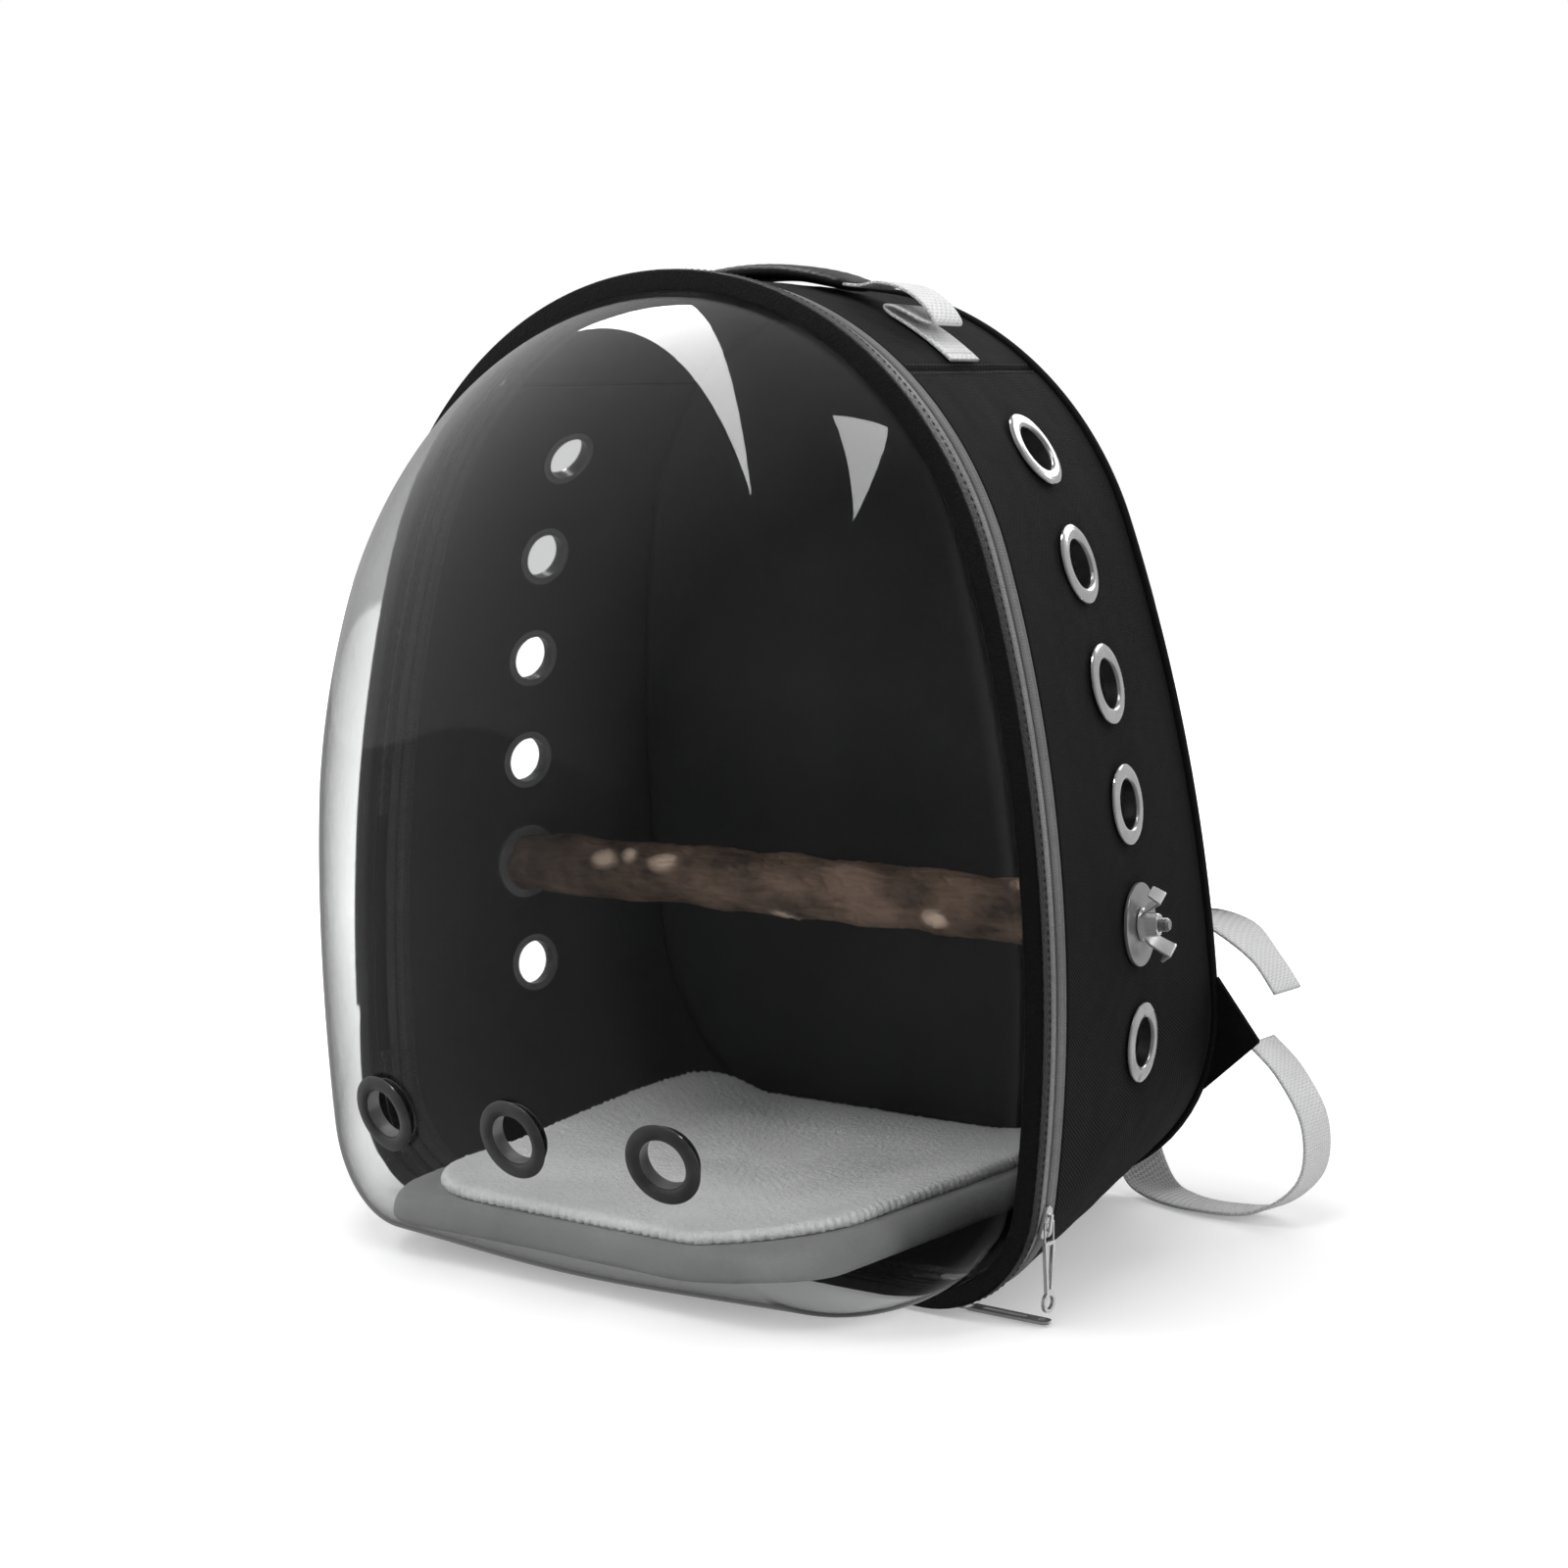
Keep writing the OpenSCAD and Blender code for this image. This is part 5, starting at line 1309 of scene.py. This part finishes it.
perch_bm = bmesh.new()
knot_layer = perch_bm.verts.layers.float.new("knot")
perch_rows = [(-1, k) for k in (0.25, 0.5, 0.75, 0.92)] + [(s, 1) for s in steps(-1, 1, 330)]
perch_rows += [(1, k) for k in (0.92, 0.75, 0.5, 0.25)]
perch_rows = [(s, k if abs(s) < 1 or k < 1 else 0.985) for s, k in perch_rows]
add_surface(perch_bm, steps(0, 360, 110), perch_rows, perch_place, (0.085, 0.34))
for vert in perch_bm.verts:
    x, y, z = vert.co / MM
    s = max(-1, min(1, x / perch_end[0]))
    vert[knot_layer] = bark(math.degrees(math.atan2(z - perch_z(s), y - ZIP_Y - perch_y(s))), s)[1]
bmesh.ops.remove_doubles(perch_bm, verts=perch_bm.verts, dist=2e-6)
bmesh.ops.holes_fill(perch_bm, edges=[edge for edge in perch_bm.edges if edge.is_boundary])
bmesh.ops.recalc_face_normals(perch_bm, faces=perch_bm.faces)

bark_mat, bark_tree, bark_bsdf = new_material("branch_bark")
bark_coords = add_node(bark_tree, "TexCoord").outputs["Object"]
bark_stretch = add_node(bark_tree, "Mapping", {"Vector": bark_coords, "Scale": (0.35, 1.6, 1.6)}).outputs[0]
bark_fibre = add_node(bark_tree, "TexNoise", {"Vector": bark_stretch, "Scale": 190.0, "Detail": 8.0, "Roughness": 0.7})
bark_patch = use_group(bark_tree, UNEVEN, {"Vector": bark_coords, "Scale": 45.0, "Low": 0.0, "High": 0.6})
bark_share = add_node(
    bark_tree, "Math", {0: bark_fibre.outputs["Fac"], 1: 0.8, 2: bark_patch["Value"]}, operation="MULTIPLY_ADD"
).outputs[0]
bark_fibres = add_node(bark_tree, "MapRange", {0: bark_share, 1: 0.35, 2: 1.0}).outputs[0]
bark_brown = mix_colours(bark_tree, bark_fibres, (0.04, 0.027, 0.02), (0.19, 0.125, 0.092))
bark_knot = add_node(bark_tree, "Attribute", attribute_name="knot").outputs["Fac"]
bark_colour = mix_colours(bark_tree, bark_knot, bark_brown, (0.6, 0.46, 0.36))
bark_tree.links.new(bark_colour, bark_bsdf.inputs["Base Color"])
bark_bsdf.inputs["Roughness"].default_value = 0.85
bump(bark_tree, bark_bsdf, bark_fibre.outputs["Fac"], 0.0009)
new_piece("perch_wood", perch_bm, "shell", [bark_mat], ["perch_branch"])

seats_of_perch = {"right": perch_seat, "left": left_of([perch_seat])[0]}
for word, seat in seats_of_perch.items():
    bolt_outline = [(0, -WALL - WASHER_T - 24), (BOLT_R - 0.35, -WALL - WASHER_T - 24)]
    end_h = WASHER_T + 2 * TOUCH + NUT_H + 3.2
    h = -6.0
    while h < end_h - 0.6:
        bolt_outline += [(BOLT_R - 0.35, h), (BOLT_R - 0.02, h + 0.4)]
        h += 0.8
    bolt_outline += [(BOLT_R - 0.4, end_h), (BOLT_R - 0.9, end_h + 0.7), (0, end_h + 0.7)]
    bolt_bm = bmesh.new()
    add_turned(bolt_bm, bolt_outline, seat, 40, False)
    close_up(bolt_bm)
    new_piece("bolt_" + word, bolt_bm, "shell", [zinc_and_rim_highlight], ["perch_bolt_" + word], sharp=50)
for word, low, node in (("inner", -WALL - TOUCH - WASHER_T, "inner_washers"), ("outer", TOUCH, "outer_washers")):
    washer_bm = bmesh.new()
    for seat in seats_of_perch.values():
        add_turned(washer_bm, washer_outline(WASHER_R, BOLT_R + 0.15, low, low + WASHER_T), seat, 72)
    close_up(washer_bm)
    new_piece("washers_" + word, washer_bm, "shell", [zinc_and_rim_highlight], [node], sharp=40)

# WING NUTS
# Stamped wing nuts: a round threaded collar and two bent sheet wings.
for word, seat in seats_of_perch.items():
    nut_bm = bmesh.new()
    base = WASHER_T + 2 * TOUCH
    centre, up, out = seat
    raised = (centre + out * base, up, out)
    add_turned(nut_bm, [(3.06, 0), (7.0, 0), (7.1, 0.5), (6.7, 1.4), (5.5, 2.2), (5.1, 3.2), (4.9, 6.6),
                        (4.5, 7.4), (3.6, 7.7), (3.06, 7.4)], raised, 48)
    for turn in (20, 200):
        bend = [(5.0, 1.6), (7.0, 3.4), (11.4, 9.6), (12.1, 11.2), (12.9, 11.4), (16.4, 7.0), (16.7, 6.4)]
        widths = [3.4, 4.2, 4.6, 4.6, 4.5, 3.8, 3.0]
        bend_turn = Matrix.Rotation(math.radians(turn), 4, "Z")
        made = bmesh.ops.create_grid(nut_bm, x_segments=6, y_segments=4, size=1)
        for vert in made["verts"]:
            k = round((vert.co.x + 1) / 2 * 6)
            vert.co = bend_turn @ Vector((bend[k][0], vert.co.y * widths[k], bend[k][1]))
        wing = list({face for vert in made["verts"] for face in vert.link_faces})
        bmesh.ops.recalc_face_normals(nut_bm, faces=wing)
        bmesh.ops.transform(nut_bm, matrix=seat_matrix(raised), verts=made["verts"])
        bmesh.ops.solidify(nut_bm, geom=wing, thickness=1.1 * MM)
    bmesh.ops.recalc_face_normals(nut_bm, faces=nut_bm.faces)
    nut = new_piece("wing_nut_sheet_" + word, nut_bm, "nut_" + word, [nickel], ["wing_nut_" + word], sharp=40)
    modifier(nut, "BEVEL", width=0.25 * MM, segments=2, limit_method="ANGLE", angle_limit=math.radians(50))

# CARRY HANDLE
# A padded black sleeve on a strap of grey webbing, which doubles back at both ends and is
# sewn flat to the top.
GRIP_HALF = 45
GRIP_LIFT = 1.2
GRIP_T = 6.6
GRIP_W = 31
WEBBING_W = 25
WEBBING_T = 1.4
HANDLE_ACROSS = 0.47
top_depth = DEPTH_TOP - WALL_START - PIPING_DEPTH
mid_r = mix(FRONT.top_r, REAR.top_r, HANDLE_ACROSS)


def over_top(s, h, t):
    return on_wall(4 - s / mid_r / (math.pi / 2 - FRONT.side_end), t, h)


def grip_place(u, v):
    angle = math.tau * u
    ca, sa = math.cos(angle), math.sin(angle)
    across = math.copysign(abs(ca) ** 0.55, ca)
    tall = math.copysign(abs(sa) ** 0.75, sa)
    end = abs(v) ** 9
    tuck = 1 - 0.9 * max(0, (abs(v) - 0.985) / 0.015)
    ribs = 0.12 * math.sin(v * 60) * (1 - end)
    h = GRIP_LIFT + GRIP_T / 2 * (1 + 0.96 * tall * (1 - 0.16 * end) * tuck) + ribs * max(0, tall)
    return over_top(v * GRIP_HALF, h, HANDLE_ACROSS + across * tuck * (1 - 0.05 * end) * GRIP_W / 2 / top_depth)


grip_bm = bmesh.new()
add_surface(grip_bm, steps(0, 1, 56), steps(-1, 1, 90), grip_place, (0.085, 0.095))
bmesh.ops.remove_doubles(grip_bm, verts=grip_bm.verts, dist=2e-6)
bmesh.ops.holes_fill(grip_bm, edges=[edge for edge in grip_bm.edges if edge.is_boundary])
close_up(grip_bm)
grip_skin = leather("grip_skin", (0.005, 0.005, 0.005), (0.02, 0.02, 0.02), 0.5, 1100.0)
grip = new_piece("grip_sleeve_pad", grip_bm, "grip", [grip_skin], ["handle_grip"])
puffed(grip, 0.5, 2.5, 10)


def ribbed(name, dark, light):
    """Narrow-woven nylon webbing: ribs along its length, small steps across"""
    made, tree, bsdf = new_material(name)
    coords = add_node(tree, "TexCoord").outputs
    cloth = use_group(tree, WEAVE, {"Vector": coords["UV"], "Threads": 620.0})
    dust = use_group(tree, UNEVEN, {"Vector": coords["Object"], "Scale": 16.0, "Low": 0.35, "High": 1.0})
    # The weave's height paints shade between the threads; the dust is the webbing's own
    share = sum_of(tree, [cloth["Height"], dust["Value"]], "MULTIPLY")
    tree.links.new(mix_colours(tree, share, dark, light), bsdf.inputs["Base Color"])
    bsdf.inputs["Roughness"].default_value = 0.55
    bsdf.inputs["Sheen Weight"].default_value = 0.2
    bump(tree, bsdf, cloth["Height"], 0.0004)
    return made


grey_webbing = ribbed("grey_webbing", (0.62, 0.62, 0.625), (0.93, 0.93, 0.94))


def spline(points, count):
    """Smooth curve through points, with count steps between each two"""
    done = []
    for i in range(len(points) - 1):
        p0, p1 = points[max(0, i - 1)], points[i]
        p2, p3 = points[i + 1], points[min(len(points) - 1, i + 2)]
        for k in range(count):
            t = k / count
            done.append(0.5 * (2 * p1 + (p2 - p0) * t + (2 * p0 - 5 * p1 + 4 * p2 - p3) * t**2
                               + (3 * p1 - p0 - 3 * p2 + p3) * t**3))
    return done + [points[-1]]


def add_strap(bm, left, right, thickness):
    """Flat strap between two edges, with soft selvedges"""
    cross = [(-1, -0.3), (-0.97, -0.5)] + [(k / 5, -0.5) for k in range(-4, 5)] + [(0.97, -0.5), (1, -0.3)]
    cross += [(x, -y) for x, y in reversed(cross)]
    last = len(left) - 1
    normals = []
    for i in range(last + 1):
        a, b = max(0, i - 1), min(last, i + 1)
        along = left[b] + right[b] - left[a] - right[a]
        normals.append(along.cross(right[i] - left[i]).normalized())
    run = sum((b - a).length for a, b in zip(left, left[1:])) * MM

    def place(k, i):
        x, y = cross[k % len(cross)]
        return left[i] * (1 - x) / 2 + right[i] * (1 + x) / 2 + normals[i] * y * thickness

    add_surface(bm, list(range(len(cross) + 1)), list(range(last + 1)), place, (0.053, run))
    bmesh.ops.remove_doubles(bm, verts=bm.verts, dist=2e-6)
    bmesh.ops.holes_fill(bm, edges=[edge for edge in bm.edges if edge.is_boundary])


handle_route = [(GRIP_HALF + TOUCH, GRIP_LIFT + GRIP_T / 2), (53, 6.4), (61, 10.8), (72, 13.2), (83, 12.2), (90, 8.8),
                (85, 6.3), (76, 5.4), (70, 4.6), (67, 3), (71, 1.5), (82, 1.4), (94, 1.4), (105, 1.4)]
half_share = WEBBING_W / 2 / top_depth
for side, word in ((1, "right"), (-1, "left")):
    route = spline([Vector((s, h)) for s, h in handle_route], 8)
    strap_bm = bmesh.new()
    front_edge = [over_top(side * p[0], p[1], HANDLE_ACROSS - half_share) for p in route]
    rear_edge = [over_top(side * p[0], p[1], HANDLE_ACROSS + half_share) for p in route]
    add_strap(strap_bm, front_edge, rear_edge, WEBBING_T)
    close_up(strap_bm)
    strap = new_piece("handle_strap_" + word, strap_bm, "shell", [grey_webbing], ["handle_webbing_" + word])
    strap.parent = None
    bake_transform(strap)
    for row, s in enumerate((80, 87, 101)):
        line = [(over_top(side * s, 2.15, HANDLE_ACROSS + half_share * k), wall_frame(4, 0.5)[2])
                for k in steps(-0.86, 0.86, 8)]
        stitches("handle_tack_%s_%d" % (word, row), "shell", line, 2.2, 1.7, 0.3, grey_webbing)
for row, (f, t0) in enumerate(((SEAM_F - 0.012, 0), (SEAM_F + 0.012, 0), (8 - SEAM_F - 0.012, 0), (8 - SEAM_F + 0.012, 0))):
    line = [(on_wall(f, t, -0.05), wall_frame(f, t)[2]) for t in steps(0.02, 0.98, 40)]
    stitches("seam_stitches_%d" % row, "shell", line, 3.0, 2.1, 0.3)

# SHOULDER STRAPS
# Two padded mesh straps hang from a reinforced patch under the top. Each ends in a ladder
# lock, and grey webbing loops from it down and round to a triangular tab in the rear seam.
PAD_W = 58
STRAP_PAD_T = 11
ANCHOR_Z = 373
pad_route = [(36, ANCHOR_Z - 21, 5.6), (46, ANCHOR_Z - 51, 13), (62, 280, 19), (80, 230, 20), (92, 180, 18),
             (97, 133.4, 13)]
pad_path = spline([Vector(p) for p in pad_route], 12)


def pad_section(i):
    last = len(pad_path) - 1
    p = pad_path[i]
    way = pad_path[min(last, i + 1)] - pad_path[max(0, i - 1)]
    across = Vector((way[1], -way[0])).normalized() * PAD_W / 2 * (1 - 0.18 * ramp(i / last, 0.75, 1))
    return p, across


for side, word in ((1, "right"), (-1, "left")):

    def pad_at(u, i, side=side):
        angle = math.tau * u
        ca, sa = math.cos(angle), math.sin(angle)
        c = math.copysign(abs(ca) ** 0.45, ca)
        tall = math.copysign(abs(sa) ** 0.8, sa)
        p, across = pad_section(i)
        last = len(pad_path) - 1
        end = max(0, 1 - min(i, last - i) / 2.5)
        x, z = p[0] - c * across[0] * (1 - 0.06 * end), p[1] - c * across[1] * (1 - 0.06 * end)
        seam = 1 - 0.35 * math.exp(-(((abs(c) - 0.9) / 0.05) ** 2))
        h = 0.5 * STRAP_PAD_T * tall * (0.9 - 0.35 * end) * seam
        return Vector((side * x, rear_y(z) + p[2] + h, z))

    strap_bm = bmesh.new()
    add_surface(strap_bm, steps(0, 1, 64), list(range(len(pad_path))), pad_at, (0.13, 0.26))
    bmesh.ops.remove_doubles(strap_bm, verts=strap_bm.verts, dist=2e-6)
    bmesh.ops.holes_fill(strap_bm, edges=[edge for edge in strap_bm.edges if edge.is_boundary])
    bmesh.ops.triangulate(strap_bm, faces=[face for face in strap_bm.faces if len(face.verts) > 4])
    close_up(strap_bm)
    pad = new_piece("strap_pad_" + word, strap_bm, "shell", [pad_mesh], ["shoulder_pad_" + word])
    puffed(pad, 0.8, 2.5, 12)

lean = Matrix.Rotation(math.atan((DEPTH_LOW - DEPTH_TOP) / FRAME_H), 4, "X")
anchor_bm = bmesh.new()
bmesh.ops.create_cube(anchor_bm, size=1)
bmesh.ops.scale(anchor_bm, vec=Vector((130, 9.6, 20)), verts=anchor_bm.verts)
bmesh.ops.bevel(anchor_bm, geom=anchor_bm.edges[:], offset=2.2, segments=3, profile=0.5, affect="EDGES", material=-1)
bmesh.ops.subdivide_edges(anchor_bm, edges=[e for e in anchor_bm.edges if e.calc_length() > 60], cuts=24)
for vert in anchor_bm.verts:
    vert.co.y += 0.5 * math.cos(vert.co.x * 0.12) * (1 if vert.co.y > 0 else 0) - 0.6 * (vert.co.y > 0)
anchor_seat = Matrix.Translation(metres((0, rear_y(ANCHOR_Z) + 5.2, ANCHOR_Z))) @ lean @ Matrix.Scale(MM, 4)
bmesh.ops.transform(anchor_bm, matrix=anchor_seat, verts=anchor_bm.verts)
anchor_uv = anchor_bm.loops.layers.uv.verify()
for face in anchor_bm.faces:
    for loop in face.loops:
        loop[anchor_uv].uv = (loop.vert.co.x + loop.vert.co.y, loop.vert.co.z)
close_up(anchor_bm)
new_piece("anchor_patch", anchor_bm, "shell", [shell_cloth], ["strap_anchor"], sharp=60)

LOCK_X = 98
LOCK_Z = 118
LOCK_T = 4
lock_y = rear_y(LOCK_Z) + 13
lock_plastic = leather("lock_plastic", (0.008, 0.008, 0.008), (0.025, 0.025, 0.025), 0.4, 1500.0)
refined("lock_right", "ladder_lock_right", "shell", lock_plastic, 0.7, 3)
refined("lock_left", "ladder_lock_left", "shell", lock_plastic, 0.7, 3)
loop_route = [(171, rear_y(82) - 0.5 + TOUCH + WEBBING_W / 2, 82), (184, 200, 68), (195, 203, 46), (194, 202, 22),
              (176, 198, 6), (150, 197, 2.4), (124, 203, 2.4), (108, 208, 9), (100, 206, 34), (98, 198, 70),
              (LOCK_X, rear_y(104.5) + 13, 104.5)]
tail_route = [(LOCK_X, lock_y + LOCK_T / 2 + TOUCH, 121), (104, 203, 134), (122, 212, 136), (146, 212, 130),
              (166, 208, 118), (180, 204, 104)]


def add_turning(bm, route, turn_from, turn_to, side):
    path = spline([Vector(p) for p in route], 9)
    last = len(path) - 1
    edges = ([], [])
    for i, p in enumerate(path):
        turn = math.radians(mix(turn_from, turn_to, ramp(i / last, 0.3, 0.85)))
        half = Vector((math.sin(turn), math.cos(turn), 0)) * WEBBING_W / 2
        for edge, q in zip(edges, (p - half, p + half)):
            edge.append(Vector((side * q[0], q[1], q[2])))
    add_strap(bm, edges[0], edges[1], WEBBING_T)


TAB_LOW_Z = 58
TAB_HIGH_Z = 112
TAB_T = 2.4
tab_edge = [REAR.point(f, PIPING_PROUD + TOUCH) for f in steps(1.45, REAR.place_at(TAB_HIGH_Z), 60)]
tab_edge = [p for p in tab_edge if p[1] >= TAB_LOW_Z]
for side, word in ((1, "right"), (-1, "left")):
    web_bm = bmesh.new()
    add_turning(web_bm, loop_route, 0, 90, side)
    add_turning(web_bm, tail_route, 90, 0, side)
    close_up(web_bm)
    new_piece("strap_web_" + word, web_bm, "shell", [grey_webbing], ["strap_webbing_" + word])

    def tab_place(k, share, side=side):
        x, z = tab_edge[k]
        x, z = mix(x, 178, share), mix(z, 84, share)
        return Vector((side * x, rear_y(z) - 0.5 - 0.1, z))

    tab_bm = bmesh.new()
    add_surface(tab_bm, list(range(len(tab_edge))), steps(0, 0.97, 14), tab_place, (0.055, 0.03))
    close_up(tab_bm)
    if tab_bm.faces[:][10].normal.y < 0:
        bmesh.ops.reverse_faces(tab_bm, faces=tab_bm.faces)
    tab = new_piece("tab_cloth_" + word, tab_bm, "shell", [shell_cloth], ["strap_tab_" + word])
    modifier(tab, "SOLIDIFY", thickness=(TAB_T - 0.2) * MM, offset=-1)
    modifier(tab, "BEVEL", width=0.5 * MM, segments=2, limit_method="ANGLE", angle_limit=math.radians(50))
